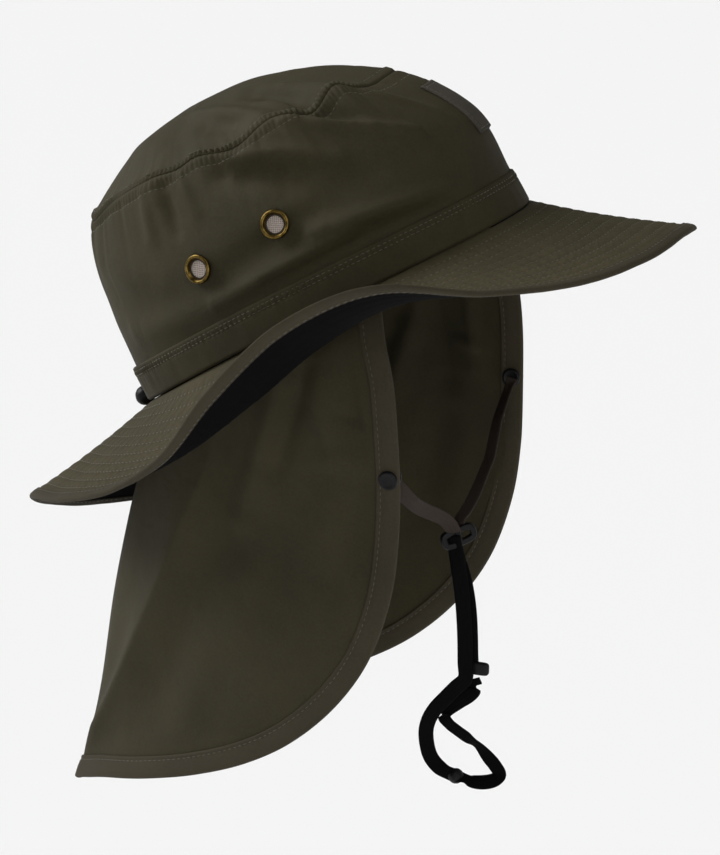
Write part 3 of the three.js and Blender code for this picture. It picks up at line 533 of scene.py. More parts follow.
wall_relief = (0.36 * slanted * bell(below - 2.2, 2.2) + 0.1 * bell(below - 1.9, 1.5)
               - 0.8 * bell(below, 0.6) - 0.3 * bell(below - SEAM_ROW, 0.55)
               + 1.2 * gathers(angle, 1.0) * np.exp(-below / 15) * (1 - bell(below, 2))
               + 0.35 * np.sin(5 * angle + 0.04 * height) * np.sin(height / 17))
for start, end, width, size in FOLDS:
    start, end = [(MM_PER_DEGREE * turn, level) for turn, level in (start, end)]
    wall_relief += fold_line(MM_PER_DEGREE * np.degrees(signed), height, start, end, width, size,
                             0.12) * (1 - bell(below, SEAM_HUSH))
calm = 1 - 0.75 * np.maximum(0, np.cos(wall_angles))[:, None] ** 6
wall = lifted(wall, wall_relief * calm, wrapped=True)
print("wall circumference", round(around[-1]), "mm, relief from", round(wall_relief.min(), 2), "to",
      round(wall_relief.max(), 2))

# %% [markdown]
# Four vents are cut through the wall. The holes are simply left out of the grid, and the brass
# ring's flange covers the ragged edge, which saves a boolean cut.

# %% Vent places and the wall's mesh
VENTS = [("front", 74.0, 43.0), ("rear", 98.5, 41.0)]  # angle from the front, height
VENT_RADIUS = 4.2


def vent_seat(side, turn, level):
    """Centre and outward direction on the wall: the cross product of its two tangents."""
    a = side * math.radians(turn)
    at = crown_point(np.array([a, a - 0.02, a + 0.02, a, a]),
                     np.array([level] * 3 + [level - 2, level + 2.0]))
    return at[0], unit(np.cross(at[2] - at[1], at[4] - at[3]))


seats = {(hand, place): vent_seat(side, turn, level)
         for side, hand in ((-1, "right"), (1, "left")) for place, turn, level in VENTS}


def without_holes(piece, centres, radius):
    """Leaves out the faces whose middle is within radius of a centre."""
    mesh = piece.data
    middles = np.empty(len(mesh.polygons) * 3, np.float32)
    mesh.polygons.foreach_get("center", middles)
    middles = middles.reshape(-1, 3)
    hit = np.zeros(len(middles), bool)
    for centre in centres:
        hit |= np.linalg.norm(middles - centre * MM, axis=1) < radius * MM
    work = bmesh.new()
    work.from_mesh(mesh)
    work.faces.ensure_lookup_table()
    bmesh.ops.delete(work, geom=[work.faces[k] for k in np.flatnonzero(hit)], context="FACES")
    work.to_mesh(mesh)
    work.free()
    return piece


crown_wall = surface("crown_wall_cloth", worn(wall), grid_uv(around, wall_heights), wrapped=True)
crown_wall = without_holes(crown_wall, [worn(c) for c, _ in seats.values()], VENT_RADIUS)
thicken(crown_wall, CLOTH_THICK)
dress(crown_wall, olive_cloth, "olive_cloth", "crown_wall")

# %% [markdown]
# ## The crown's top
# The top is one oval of cloth that domes up behind the middle. Its rim follows the wandering seam
# exactly, so it is worked out from the same function as the wall, and shares its ripples. It ends
# in a fan of triangles at the highest point.

# %% Crown top
TIP = dict(rise=22.6, apex_x=-18.0, roundness=1.25, lift=0.4)
tip_share = np.concatenate([np.linspace(0.03, 0.8, 34), np.linspace(0.815, 1.0, 18)])
rim = crown_point(wall_angles, np.full(WALL_COLUMNS, TOP), risen=0.0)


def tip_point(rim, rise, share):
    """From the apex to the rim: x and y shrink with share, and z = dome + rim's dip * share squared
    + the seam's rise * share to the fourth, where dome = rise * (1 - share squared) ** roundness."""
    share = share[None, :]
    x = TIP["apex_x"] + (rim[:, 0:1] - TIP["apex_x"]) * share
    y = rim[:, 1:2] * share
    z = TOP + (rim[:, 2:3] - TOP) * share ** 2 + rise[:, None] * share ** 4
    behind = np.maximum(0, -rim[:, 0:1]) / HEAD["half_length"]
    ahead = np.maximum(0, rim[:, 0:1]) / HEAD["half_length"]
    dome = TIP["rise"] * (1 - share**2) ** (TIP["roundness"] - 0.26 * behind - 0.5 * ahead)
    return np.stack([x, y, z + dome + TIP["lift"]], -1)


tip = tip_point(rim, seam_rise(wall_angles), tip_share)
inset = np.linalg.norm(tip - tip[:, -1:], axis=2)
tip_x, tip_y = tip[..., 0], tip[..., 1]
tip_angle = np.arctan2(tip_y, tip_x - TIP["apex_x"])
TIP_FOLDS = [  # start, end (x, y), width, size: light ridges and dark hollows of the top
    ((-13, -23), (34, -52), 4.0, 2.6), ((22, -24), (50, -38), 5.0, -3.4), ((30, -40), (46, -44), 3.0, 2.4),
    ((-8, -13), (36, -24), 5.0, 2.2), ((-40, -28), (-16, -50), 7.0, 1.8), ((4, -44), (22, -50), 5.0, -2.4),
    ((-30, 30), (20, 48), 6.0, 2.2), ((30, 10), (54, 20), 6.0, 2.0), ((-58, 0), (-34, 26), 8.0, -2.0)]
tip_ripple = np.sin(turns[:, None] - 0.8 * inset) * np.clip(gathered, 0.3, 1.2)[:, None]
tip_relief = (0.95 * tip_ripple * bell(inset - 2.0, 1.7) + 0.3 * bell(inset - 2.0, 1.5)
              - 1.5 * bell(inset, 0.7) - 0.3 * bell(inset - SEAM_ROW, 0.55)
              + 0.8 * gathers(tip_angle, 1.4) * np.exp(-inset / 9) * (1 - bell(inset, 2))
              + np.sin(np.pi * tip_share) * (0.7 * np.sin(3 * tip_angle + 1)
                                             + 0.7 * np.sin(tip_y / 8 + 1.4 * np.sin(tip_x / 33))
                                             + 0.4 * np.sin(tip_x / 11 + tip_y / 17)))
for start, end, width, size in TIP_FOLDS:
    tip_relief += fold_line(tip_x, tip_y, start, end, width, size, 0.1) * (1 - bell(inset, SEAM_HUSH))
tip = lifted(tip, tip_relief * calm, wrapped=True, side=-1)
tip[:, -1] = wall[:, -1]  # the rim ends on the wall's own edge, which closes the seam
tip_uv = np.concatenate([tip[..., :2], tip[:1, :, :2]])
apex = worn(tip[:, 0].mean(axis=0) + [0, 0, 0.05])
crown_top = surface("crown_top_cloth", worn(tip), tip_uv, wrapped=True, pole=apex, flip=True)
thicken(crown_top, CLOTH_THICK)
dress(crown_top, olive_cloth, "olive_cloth", "crown_tip")

# %% Crown seam stitches
seam_rows = []
for grid, normals, inwards in ((wall, grid_normals(wall, True), below),
                               (tip, -grid_normals(tip, True), inset)):
    row = int(np.argmin(abs(inwards[0] - SEAM_ROW)))
    seam_rows.append(stitch_set(worn(grid[:, row]), worn(normals[:, row]), radius=ROW_RADIUS,
                                closed=True))
stitches("crown_seam_stitches", seam_rows, thread_olive, "olive_cloth")

# %% [markdown]
# ## The band
# A folded band covers the join of crown and brim. It is the wall's own shape set out by the
# cloth's thickness, with its edges rolled in so that no raw edge shows. Two rows of stitches near
# the top hold it, and the cloth puckers between them.

# %% Band
BAND_TOP, BAND_ROWS = 16.6, (14.8, 12.2)
band_heights = np.concatenate([[0.2, 0.5], np.linspace(1.2, 15.2, 22), [16.0, 16.5, BAND_TOP]])
angle, height = np.meshgrid(wall_angles, band_heights, indexing="ij")
fold = bell(height - 16.7, 0.5) + bell(height - 0.1, 0.5)
band_relief = (1.3 - fold - 0.25 * sum(bell(height - level, 0.5) for level in BAND_ROWS)
               + 0.34 * slanted[:, -1:] * bell(height - 13.6, 1.9)
               + 0.35 * gathers(angle, 0.7) * np.sin(np.pi * np.clip(height / BAND_TOP, 0, 1)))
band = lifted(crown_point(angle, height), band_relief, wrapped=True)
crown_band = surface("crown_band_cloth", worn(band), grid_uv(around, band_heights), wrapped=True)
thicken(crown_band, THIN_CLOTH)
dress(crown_band, olive_cloth, "olive_cloth", "crown_band")
band_normals = grid_normals(band, True)
band_rows = [int(np.argmin(abs(band_heights - level))) for level in BAND_ROWS]
stitches("band_stitches", [
    stitch_set(worn(band[:, row]), worn(band_normals[:, row]), radius=ROW_RADIUS, closed=True)
    for row in band_rows], thread_olive, "olive_cloth")

# %% [markdown]
# ## The front patch
# A small woven patch is sewn on the front of the crown. It is left bare. Its edge rounds down to
# the cloth, and a row of stitches runs all round it.

# %% Patch
PATCH = dict(turn=8, half_turn=8.3, level=55.3, half_level=16.8, flat=(12, 15.8), rows=0.88)
PATCH_GRID = (60, 80)
u, v = np.meshgrid(*[np.linspace(-1, 1, n) for n in PATCH_GRID], indexing="ij")
edge = np.maximum(abs(u), abs(v))
patch_base = crown_point(np.radians(PATCH["turn"] + PATCH["half_turn"] * u),
                         PATCH["level"] + PATCH["half_level"] * v)
patch_lift = (0.2 + 1.2 * np.clip((1 - edge) / 0.05, 0, 1) ** 0.5
              - 0.22 * bell(edge - PATCH["rows"], 0.03) + 0.12 * np.sin(3 * u + 2) * np.cos(2.5 * v))
patch = lifted(patch_base, patch_lift)
front_patch = surface("front_patch_cloth", worn(patch), np.stack([u, v], -1) * PATCH["flat"])
thicken(front_patch, 0.5)
dress(front_patch, label_cloth, "label_cloth", "front_label")

# A square walked once round: each coordinate is a triangle wave of four steps, cut off at 1.
walk = np.linspace(0, 8, 240, endpoint=False)
ui, vi = [np.clip(np.round((wave * PATCH["rows"] + 1) / 2 * (n - 1)).astype(int), 0, n - 1)
          for wave, n in zip([np.clip(2 - abs((walk + ahead) % 8 - 4), -1, 1) for ahead in (2, 0)],
                             PATCH_GRID)]
patch_normals = grid_normals(patch)
stitches("patch_stitches", [stitch_set(worn(patch[ui, vi]), worn(patch_normals[ui, vi]), pitch=2.2,
                                       length=1.6, radius=0.16, closed=True)],
         thread_olive, "label_cloth")

# %% [markdown]
# ## Vent eyelets
# An eyelet is a brass ring turned on a lathe: a profile spun about its own axis. A disc of grey
# netting sits inside it, a little sunk. Spinning is `centre + radius * (side cos t + up sin t)`.

# %% Eyelets
def lathe(name, centre, out, profile, turns=64, pole=False):
    """Spins (radius, height) pairs about the direction out: out of the surface is +height."""
    helper = np.array([0.0, 0.0, 1.0]) if abs(out[2]) < 0.9 else np.array([1.0, 0.0, 0.0])
    side = unit(np.cross(helper, out))
    up = np.cross(out, side)
    t = np.arange(turns) * 2 * np.pi / turns
    spoke = np.cos(t)[:, None] * side + np.sin(t)[:, None] * up
    radius, height = np.array(profile, float).T
    points = centre + spoke[:, None] * radius[None, :, None] + out * height[None, :, None]
    t = np.append(t, 2 * np.pi)
    uv = np.stack([np.cos(t)[:, None] * radius, np.sin(t)[:, None] * radius], -1)
    top = centre + out * height[0] if pole else None
    return surface(name, points, uv, wrapped=True, pole=top, flip=True)


lip = np.linspace(0, np.pi, 15)
throat_profile = [(3.7, -1.5), (3.7, -0.1), (3.85, 0.1), (4.15, 0.16), (4.5, 0.05), (4.9, -0.3)]
ring_profile = ([(4.4, -1.6), (4.5, 0.5)]
                + [(5.6 - 0.85 * math.cos(a), 0.65 + 0.75 * math.sin(a)) for a in lip]
                + [(6.5, 0.3), (6.3, -0.3), (4.6, -0.6), (4.4, -1.6)])
NET_RADIUS, PROUD = 4.3, 0.55
net_profile = [(r, -0.35 + 0.25 * (1 - (r / NET_RADIUS) ** 2)) for r in (0.4, 1.4, 2.6, 3.6, NET_RADIUS)]
for (hand, place), (centre, out) in seats.items():
    vent, seat, facing = f"{hand}_{place}", worn(centre + out * PROUD), worn(out)
    dress(lathe(f"eyelet_ring_{vent}", seat, facing, ring_profile), antique_brass, "antique_brass",
          f"eyelet_{vent}")
    # painted shade: the throat is dark brass standing for the shadow in the eyelet's barrel
    dress(lathe(f"eyelet_throat_{vent}", seat, facing, throat_profile), throat_brass_painted_shade, "antique_brass")
    dress(lathe(f"vent_net_{vent}", seat, facing, net_profile, pole=True), vent_netting, "vent_mesh",
          f"vent_mesh_{vent}")

# %% [markdown]
# ## The brim
# The brim is wide cloth stiffened by ten rings of stitching. Its slope changes round the hat: down
# at the front and back, nearly level at the near side, where its edge lifts and the middle sags
# into a trough. The table lists, for each angle, its width, its slope on the right and left, and
# the sag. A point is found by walking out from the head opening along the slope.

# %% Brim shape
BRIM = np.array([  # angle, width, slope right, slope left, sag
    (0, 71.4, -33.8, -33.8, 0.8), (15, 72, -33.1, -36, 1.6), (30, 70.4, -28.6, -40, 2.2),
    (45, 68, -16.6, -40, 4), (60, 68, 3.0, -32, 9), (75, 68, 5.6, -20, 13), (90, 68, -3.8, -14, 15),
    (105, 68, -17, -19, 11), (120, 68, -19.5, -29, 6), (135, 68.5, -14.5, -36, 3),
    (150, 69, -9, -39, 1.5), (165, 70, -14.5, -38, 1), (180, 70, -26, -26, 0.5)])


def brim_width(angle):
    turn = np.degrees(abs(np.arctan2(np.sin(angle), np.cos(angle))))
    return ease(BRIM[:, 0], BRIM[:, 1], turn)


def brim_point(angle, reach, lift=0.0):
    """Head ellipse + outward * reach cos(slope), with z = reach sin(slope) - 4 sag t (1 - t), where
    t = reach / width."""
    c, s = np.cos(angle), np.sin(angle)
    turn = np.degrees(abs(np.arctan2(s, c)))
    right, left, sag = [ease(BRIM[:, 0], BRIM[:, k], turn) for k in (2, 3, 4)]
    slope = np.radians(np.where(s < 0, right, left))
    t = np.maximum(0, reach) / brim_width(angle)
    out = unit(np.stack([HEAD["half_width"] * c, HEAD["half_length"] * s], -1))
    run = np.where(reach < 0, reach, reach * np.cos(slope))
    drop = np.where(reach < 0, 0, reach * np.sin(slope) - 4 * sag * t * (1 - t))
    return np.stack([HEAD["half_length"] * c + out[..., 0] * run,
                     HEAD["half_width"] * s + out[..., 1] * run,
                     -HEAD["dip"] * np.cos(2 * angle) + drop + lift], -1)


# %% [markdown]
# Each ring of stitching pulls the cloth down and gathers it, so between rings the cloth stands up
# in small pillows. The height is a sine of the reach, from ring to ring, plus dimples at the
# stitches, which follow the arc length of their own ring so that thread and dimple agree.

# %% Brim cloth
RING_STEP, STITCH_PITCH = 6.0, 2.9
RINGS = 6.4 + RING_STEP * np.arange(10)
BRIM_COLUMNS, BRIM_ROWS, UNDER_ROWS = 1080, 88, 70
TUCK, TOP_SHORT, UNDER_SHORT = 2.5, 2.0, 1.6  # how far the cloth runs in past the head, and stops short
brim_angles = np.arange(BRIM_COLUMNS) * 2 * np.pi / BRIM_COLUMNS
ring_lines = [brim_point(brim_angles, np.full(BRIM_COLUMNS, r)) for r in RINGS]
ring_far = np.stack([arc_lengths(line, closed=True)[:-1] for line in ring_lines], 1)


def quilted(reach, depth=0.38):
    """Pillows: depth * |sin(pi * rings passed)| to the 0.7, and dimples of one stitch's pitch."""
    step = (reach - RINGS[0]) / RING_STEP
    inside = (step > -0.5) & (step < len(RINGS) - 0.5)
    pillow = np.abs(np.sin(np.pi * step)) ** 0.7
    nearest = np.clip(np.round(step), 0, len(RINGS) - 1).astype(int)
    far = np.take_along_axis(ring_far[::BRIM_COLUMNS // len(reach)], nearest, axis=1)
    dimple = np.cos(2 * np.pi * far / STITCH_PITCH) * bell((step - nearest) * RING_STEP, 1.5)
    pucker = np.sin(2 * np.pi * far / (2 * STITCH_PITCH) + nearest * 2.1) * pillow
    return np.where(inside, depth * pillow + 0.14 * dimple + 0.16 * pucker, depth * 0.5)


angle, share = np.meshgrid(brim_angles, np.linspace(0, 1, BRIM_ROWS), indexing="ij")
reach = -TUCK + share * (brim_width(angle) - TOP_SHORT + TUCK)
brim_grid = brim_point(angle, reach, -0.45)
brim_relief = quilted(reach) + 0.25 * gathers(angle, 3.0) * np.clip(reach / 40, 0, 1)
brim_grid = lifted(brim_grid, brim_relief, wrapped=True, side=-1)
brim_far = arc_lengths(ring_lines[5], closed=True)
brim_uv = np.stack([np.broadcast_to(brim_far[:, None], (BRIM_COLUMNS + 1, BRIM_ROWS)),
                    np.concatenate([reach, reach[:1]])], -1)
brim_top = surface("brim_top_cloth", worn(brim_grid), brim_uv, wrapped=True, flip=True)
dress(brim_top, brim_cloth_painted_lighter, "olive_cloth", "brim_top")

# %% Brim stitches
brim_normals = -grid_normals(brim_grid, True)


def brim_row(grid, normals, distance):
    """The grid's line at a given reach, read between its two nearest rows."""
    at = (distance + TUCK) / (brim_width(brim_angles) - TOP_SHORT + TUCK) * (grid.shape[1] - 1)
    low = np.clip(np.floor(at).astype(int), 0, grid.shape[1] - 2)
    part = (at - low)[:, None]
    k = np.arange(len(at))
    mix = [a[k, low] * (1 - part) + a[k, low + 1] * part for a in (grid, normals)]
    return worn(mix[0]), worn(mix[1])


rows = [stitch_set(*brim_row(brim_grid, brim_normals, r), pitch=STITCH_PITCH, length=1.5,
                   radius=0.22, closed=True) for r in RINGS]
stitches("brim_stitches", rows, thread_olive, "olive_cloth")

# %% [markdown]
# The underside is a plain black layer. The edge of the brim is bound with tape: a strip folded
# round it, held by one row of stitches. The tape's section is a loop of points, swept round the
# brim, with a rounded outer edge.

# %% Brim underside and binding
under_angles = brim_angles[::2]  # the black layer shows less, so every second column will do
angle, share = np.meshgrid(under_angles, np.linspace(0, 1, UNDER_ROWS), indexing="ij")
reach = -TUCK + share * (brim_width(angle) - UNDER_SHORT + TUCK)
under = brim_point(angle, reach, -2.2)
under = lifted(under, -0.4 * quilted(reach), wrapped=True, side=-1)
under_uv = np.stack([np.broadcast_to(brim_far[::2][:, None], (BRIM_COLUMNS // 2 + 1, UNDER_ROWS)),
                     np.concatenate([reach, reach[:1]])], -1)
brim_under = surface("brim_underside_cloth", worn(under), under_uv, wrapped=True)
dress(brim_under, black_cloth, "black_cloth", "brim_underside")

TAPE_PITCH, TAPE_ROWS = 3.1, (4, 23)  # stitch length, and the two stitched points of the section
edge_turn = np.linspace(math.pi / 2, -math.pi / 2, 11)
MIDDLE, HALF, ROLL = -1.2, 1.5, 1.8  # height of the tape's middle, half its height, its roll's radius
top_side = [(-4.3, 0.15), (-4.35, 0.36), (-4.1, 0.5), (-3.7, 0.46), (-3.2, 0.26), (-2.7, 0.44),
            (-2.0, 0.46), (-1.4, 0.38)]
rolled = [(-0.75 + ROLL * math.cos(t), MIDDLE + HALF * math.sin(t)) for t in edge_turn]
low_side = [(-1.0, -2.6), (-1.3, -2.7), (-1.6, -2.72), (-1.9, -2.7), (-2.3, -2.54), (-2.7, -2.7),
            (-3.0, -2.72), (-3.25, -2.6), (-3.2, -2.35)]
section = np.array(top_side + rolled + low_side + [(-3.1, -2.1), (-4.0, -0.1)])
tape_angles = wall_angles
width = brim_width(tape_angles)[:, None]
past, lift = section[None, :, 0], section[None, :, 1]
tape_far = arc_lengths(brim_point(tape_angles, width[:, 0]), closed=True)
pull = (0.12 * np.sin(2 * np.pi * tape_far[:-1, None] / TAPE_PITCH) * bell(past + 3.2, 1.4)
        * np.sign(lift + 1.6))
wave = 0.1 * gathers(tape_angles, 2.4)[:, None]
tape = brim_point(tape_angles[:, None], width + past, lift + pull + wave)
tape = np.concatenate([tape, tape[:, :1]], axis=1)
tape_v = arc_lengths(np.concatenate([section, section[:1]]))
tape_uv = grid_uv(tape_far, tape_v)
brim_binding = surface("brim_binding_tape", worn(tape), tape_uv, wrapped=True, flip=True)
dress(brim_binding, tape_cloth, "binding_cloth", "brim_binding")
tape_normals = -grid_normals(tape, True)
stitches("binding_stitches", [
    stitch_set(worn(tape[:, row]), worn(tape_normals[:, row]), pitch=TAPE_PITCH, length=2.1, closed=True)
    for row in TAPE_ROWS], thread_olive, "binding_cloth")

# %% [markdown]
# ## The neck flap
# The flap is one sheet sewn inside the brim. From above it is a U, a squared ellipse that widens
# towards the shoulders; from the side its free edge is a long curve. Two tables say how wide and
# how far back it is at each level, and one line of points gives the free edge. It hangs under its
# own weight, so its folds run down it, and a pressed crease runs down each side.

# %% Flap shape
FLAP_FRONT_X = 66.0
LEVELS = np.array([  # level, half width, back x
    (32, 66, -74), (15, 78, -77), (0, 83.5, -79), (-28, 84, -79.5), (-60, 81, -83.5), (-100, 80, -94.5),
    (-140, 79.5, -103.5), (-190, 79, -112), (-245, 79, -124.5)])
FLAP = dict(square=2.8, start=59.0, inset=1.5, under=-2.9, settle=0.13, front_share=0.27)
LEFT_DRIFT = dict(x=2.6, level=-3.4)
FLAP_HEIGHT, CREASE_BEND = 240, 1.9 / 90
EDGE = np.array([  # x and level of the free edge
    (45.8, 26), (51.4, 9), (57.2, -14), (58.9, -50), (57.8, -85), (53.8, -112), (44, -140), (28, -164),
    (7, -184), (-16, -198.2), (-42, -209), (-70, -218), (-96, -226), (-110, -232.6), (-118.5, -238.6),
    (-122.8, -242.6)])


def spline(points, count=900):
    """Uniform Catmull-Rom through the points, then read at equal steps of arc length."""
    p = np.concatenate([points[:1], points, points[-1:]]).astype(float)
    t = np.linspace(0, len(points) - 1 - 1e-9, count)
    k, f = t.astype(int), (t % 1)[:, None]
    a, b, c, d = p[k], p[k + 1], p[k + 2], p[k + 3]
    fine = 0.5 * (2 * b + (c - a) * f + (2 * a - 5 * b + 4 * c - d) * f**2
                  + (3 * b - a - 3 * c + d) * f**3)
    return fine, arc_lengths(fine)


edge_line, edge_far = spline(EDGE)


def edge_at(part):
    at = np.clip(part, 0, 1) * edge_far[-1]
    return np.interp(at, edge_far, edge_line[:, 0]), np.interp(at, edge_far, edge_line[:, 1])


def crease_turn(level):
    """Where the pressed crease runs: straight at first, then swinging back towards the hem."""
    down = np.clip(-level / FLAP_HEIGHT, 0, 1)
    return np.radians(34.5 + 11 * down + 22 * down ** 3)


def flap_plan(turn, level, side):
    """U of the flap: reach = (|cos|^n + |sin|^n)^(-1/n), x = front - (front - back) sin * reach,
    y = side * half width * cos * reach, with the pressed crease as a cusp in the reach."""
    half, back = ease(LEVELS[:, 0], LEVELS[:, 1], level), ease(LEVELS[:, 0], LEVELS[:, 2], level)
    down = np.clip(-level / FLAP_HEIGHT, 0, 1)
    away = np.abs(turn - crease_turn(level)) / np.radians(6)
    bend = np.exp(-(np.sqrt(away**2 + 0.03) - 0.17) * 1.5)
    c, s = np.cos(turn), np.sin(turn)
    n = FLAP["square"]
    reach = (np.abs(c) ** n + np.abs(s) ** n) ** (-1 / n) * (1 + CREASE_BEND * down * bend)
    drift = np.where(side > 0, down * c, 0)
    return np.stack([FLAP_FRONT_X - (FLAP_FRONT_X - back) * s * reach
                     + LEFT_DRIFT["x"] * np.minimum(1, 3 * drift),
                     side * half * c * reach, level + LEFT_DRIFT["level"] * drift], -1)


def flap_turn(x, level):
    back = ease(LEVELS[:, 0], LEVELS[:, 2], level)
    part = np.clip((FLAP_FRONT_X - x) / (FLAP_FRONT_X - back), 0, 1)
    return np.arctan2(part, np.maximum(1 - part ** FLAP["square"], 0) ** (1 / FLAP["square"]))


def flap_out(turn, level, side):
    """Outward direction: the cross product of a small step round and a small step up."""
    round_step = flap_plan(turn + 0.01, level, side) - flap_plan(turn - 0.01, level, side)
    up_step = flap_plan(turn, level + 1, side) - flap_plan(turn, level - 1, side)
    return unit(np.cross(round_step, up_step) * np.asarray(side)[..., None])


# %% [markdown]
# The sheet's grid runs from one front edge round the back to the other, and from the seam under
# the brim down to the free edge. Near the seam it is pulled onto the line where it is sewn. Soft
# hanging folds are added along the normals: slow sines round the U that grow downwards and die
# out at the hem, which is stiffer.

# %% Flap cloth
def flap_grid(columns, rows):
    u, v = np.meshgrid(np.linspace(0, 1, columns), np.linspace(0, 1, rows), indexing="ij")
    side = np.where(u < 0.5, -1, 1)
    across = 1 - np.abs(2 * u - 1)
    seam = worn(brim_point(np.radians(FLAP["start"] + (180 - FLAP["start"]) * across),
                           np.full(u.shape, -FLAP["inset"]), FLAP["under"]))
    foot_x, foot_level = edge_at(FLAP["front_share"] + (1 - FLAP["front_share"]) * across)
    tops, feet = flap_turn(seam[..., 0], seam[..., 2]), flap_turn(foot_x, foot_level)
    turn, level = tops + (feet - tops) * v, seam[..., 2] + (foot_level - seam[..., 2]) * v
    front_x, front_level = edge_at(FLAP["front_share"] * v)
    front = across < 1e-9
    start_turn = np.where(front, flap_turn(*edge_at(0 * v)), tops)
    start_level = np.where(front, EDGE[0, 1], seam[..., 2])
    turn = np.where(front, flap_turn(front_x, front_level), turn)
    level = np.where(front, front_level, level)
    points = flap_plan(turn, level, side)
    anchor = np.stack([seam[..., 0], side * seam[..., 1], seam[..., 2]], -1)
    pull = np.maximum(0, 1 - v / FLAP["settle"]) ** 2
    points += (anchor - flap_plan(start_turn, start_level, side)) * pull[..., None]
    return points, turn, level, side, across, v


FLAP_FOLDS = [  # start, end (x, z), width, size: folds that hang from the seam
    ((8, -18), (-17, -84), 7.5, 5.2), ((19, -2), (0, -56), 6.5, -5.0), ((21, -4), (30, -46), 7, 4.6),
    ((40, 14), (44, -40), 5.5, -4.0), ((45, 4), (48, -28), 3.4, 1.6), ((34, -28), (49, -31), 2.4, -1.6),
    ((-22, -30), (-38, -80), 8, -2.6), ((30, -50), (22, -112), 10, 1.8), ((6, -70), (-6, -140), 11, -2.4),
    ((-40, -60), (-62, -150), 9, 2.2), ((-20, -110), (-50, -190), 12, 2.0), ((40, -60), (36, -100), 8, -1.6)]
FAR_FOLDS = np.array([-6, -10])  # the far side's folds hang this much farther back and lower
flap, turn, level, side, across, v = flap_grid(340, 130)
hang = np.sin(np.pi * np.clip(v, 0, 1)) ** 0.8
around_u = turn * side
flap_relief = hang * (0.35 + 0.65 * v) * (
    -1.7 * np.sin(9 * around_u + 0.6 + 0.8 * v) + 0.9 * np.sin(17 * around_u + 2.1 * v + 1)
    + 0.35 * np.sin(31 * around_u + 3 * v))
flap_relief += 2.2 * gathers(around_u * 0.6, 1.7) * np.exp(-v * 4) * np.minimum(1, v * 18)
for start, end, width, size in FLAP_FOLDS:
    start, end = np.array(start, float), np.array(end, float)
    for hand, shift in ((-1, 0), (1, FAR_FOLDS)):
        flap_relief += fold_line(flap[..., 0], flap[..., 2], start + shift, end + shift, width,
                                 size, 0.1) * (side == hand)
beside = np.degrees(turn - crease_turn(level))
flap_relief += ((3.0 * np.exp(-np.abs(beside) / 3.4) - 1.2 * bell(beside + 8, 5))
                * np.clip(v * 5 - 0.3, 0, 1))
flap_relief *= np.clip(across * 16 - 1, 0, 1) * np.clip((1 - v) * 12 - 0.6, 0, 1)
flap = flap + flap_out(turn, level, side) * flap_relief[..., None]
flap_steps = [np.diff(flap, axis=0, prepend=flap[:1]), np.diff(flap, axis=1, prepend=flap[:, :1])]
flap_uv = np.stack([np.cumsum(np.linalg.norm(step, axis=2), axis=k)
                    for k, step in enumerate(flap_steps)], -1)
neck_flap = surface("neck_flap_cloth", flap, flap_uv)
thicken(neck_flap, THIN_CLOTH)
dress(neck_flap, olive_cloth, "olive_cloth", "neck_flap")

# %% [markdown]
# ## The hem
# The free edge is folded over and stitched: a facing 9.5 mm wide on both faces that rounds over
# the edge. It is a section swept along the free edge. A section point is placed by walking in
# from the edge along the flap, which needs a small two-by-two solve, and then out along the normal.

# %% Hem
def flap_walk(along, inward_mm, offset):
    """The point inward_mm in from the free edge, offset out of the face."""
    side = np.where(along < 0.5, -1.0, 1.0)
    q = 0.02 + 0.98 * (1 - np.abs(2 * along - 1))

    def place(part):
        x, level = edge_at(part)
        return flap_turn(x, level), level

    turn, level = place(q)
    here = flap_plan(turn, level, side)
    low, high = place(np.minimum(q + 0.004, 1)), place(q - 0.004)
    tangent = unit(flap_plan(*low, side) - flap_plan(*high, side))
    out = flap_out(turn, level, side)
    inward = np.cross(tangent, out) * (-side)[..., None]
    per_turn = (flap_plan(turn + 0.01, level, side) - here) / 0.01
    per_level = flap_plan(turn, level + 1, side) - here
    a, b, c, d, e = [np.sum(p * q, axis=-1) for p, q in (
        (per_turn, per_turn), (per_turn, per_level), (per_level, per_level),
        (per_turn, inward), (per_level, inward))]
    step_turn, step_level = (d * c - e * b) / (a * c - b * b), (e * a - d * b) / (a * c - b * b)
    turn = turn[:, None] + step_turn[:, None] * inward_mm
    level = level[:, None] + step_level[:, None] * inward_mm
    side = np.broadcast_to(side[:, None], turn.shape)
    return flap_plan(turn, level, side) + flap_out(turn, level, side) * offset[..., None]


fold_turn = np.linspace(math.pi / 2, -math.pi / 2, 9)
outer_face = [(9.6, 0.5), (9.65, 1.0), (9.3, 1.35), (8.5, 1.35), (7.6, 1.05), (6.8, 1.35), (4.5, 1.45),
              (2.2, 1.45)]
rounded = [(0.3 - 1.3 * math.cos(t), 1.4 * math.sin(t)) for t in fold_turn]
hem_section = np.array(outer_face + rounded + [(a, -b) for a, b in outer_face[::-1]])
HEM_PITCH, HEM_ROW = 3.0, 7.6  # stitch length, and how far in from the edge the stitches run
hem_along = np.linspace(0, 1, 700)
still = np.zeros((len(hem_along), 1))
inward_mm = np.broadcast_to(hem_section[None, :, 0], (len(hem_along), len(hem_section)))
hem_far = arc_lengths(flap_walk(hem_along, still, still)[:, 0])
hem_pull = 0.07 * np.sin(2 * np.pi * hem_far / HEM_PITCH)[:, None] * bell(inward_mm - HEM_ROW, 1.5)
hem_offset = (hem_section[None, :, 1] + hem_pull * np.sign(hem_section[None, :, 1])) - 0.45
hem = flap_walk(hem_along, inward_mm, hem_offset)
hem_uv = grid_uv(hem_far, arc_lengths(hem_section))
flap_hem = surface("flap_hem_facing", hem, hem_uv)
dress(flap_hem, tape_cloth, "binding_cloth", "flap_hem")
hem_out = (flap_walk(hem_along, still + HEM_ROW, still + 1.0)
           - flap_walk(hem_along, still + HEM_ROW, still))[:, 0]
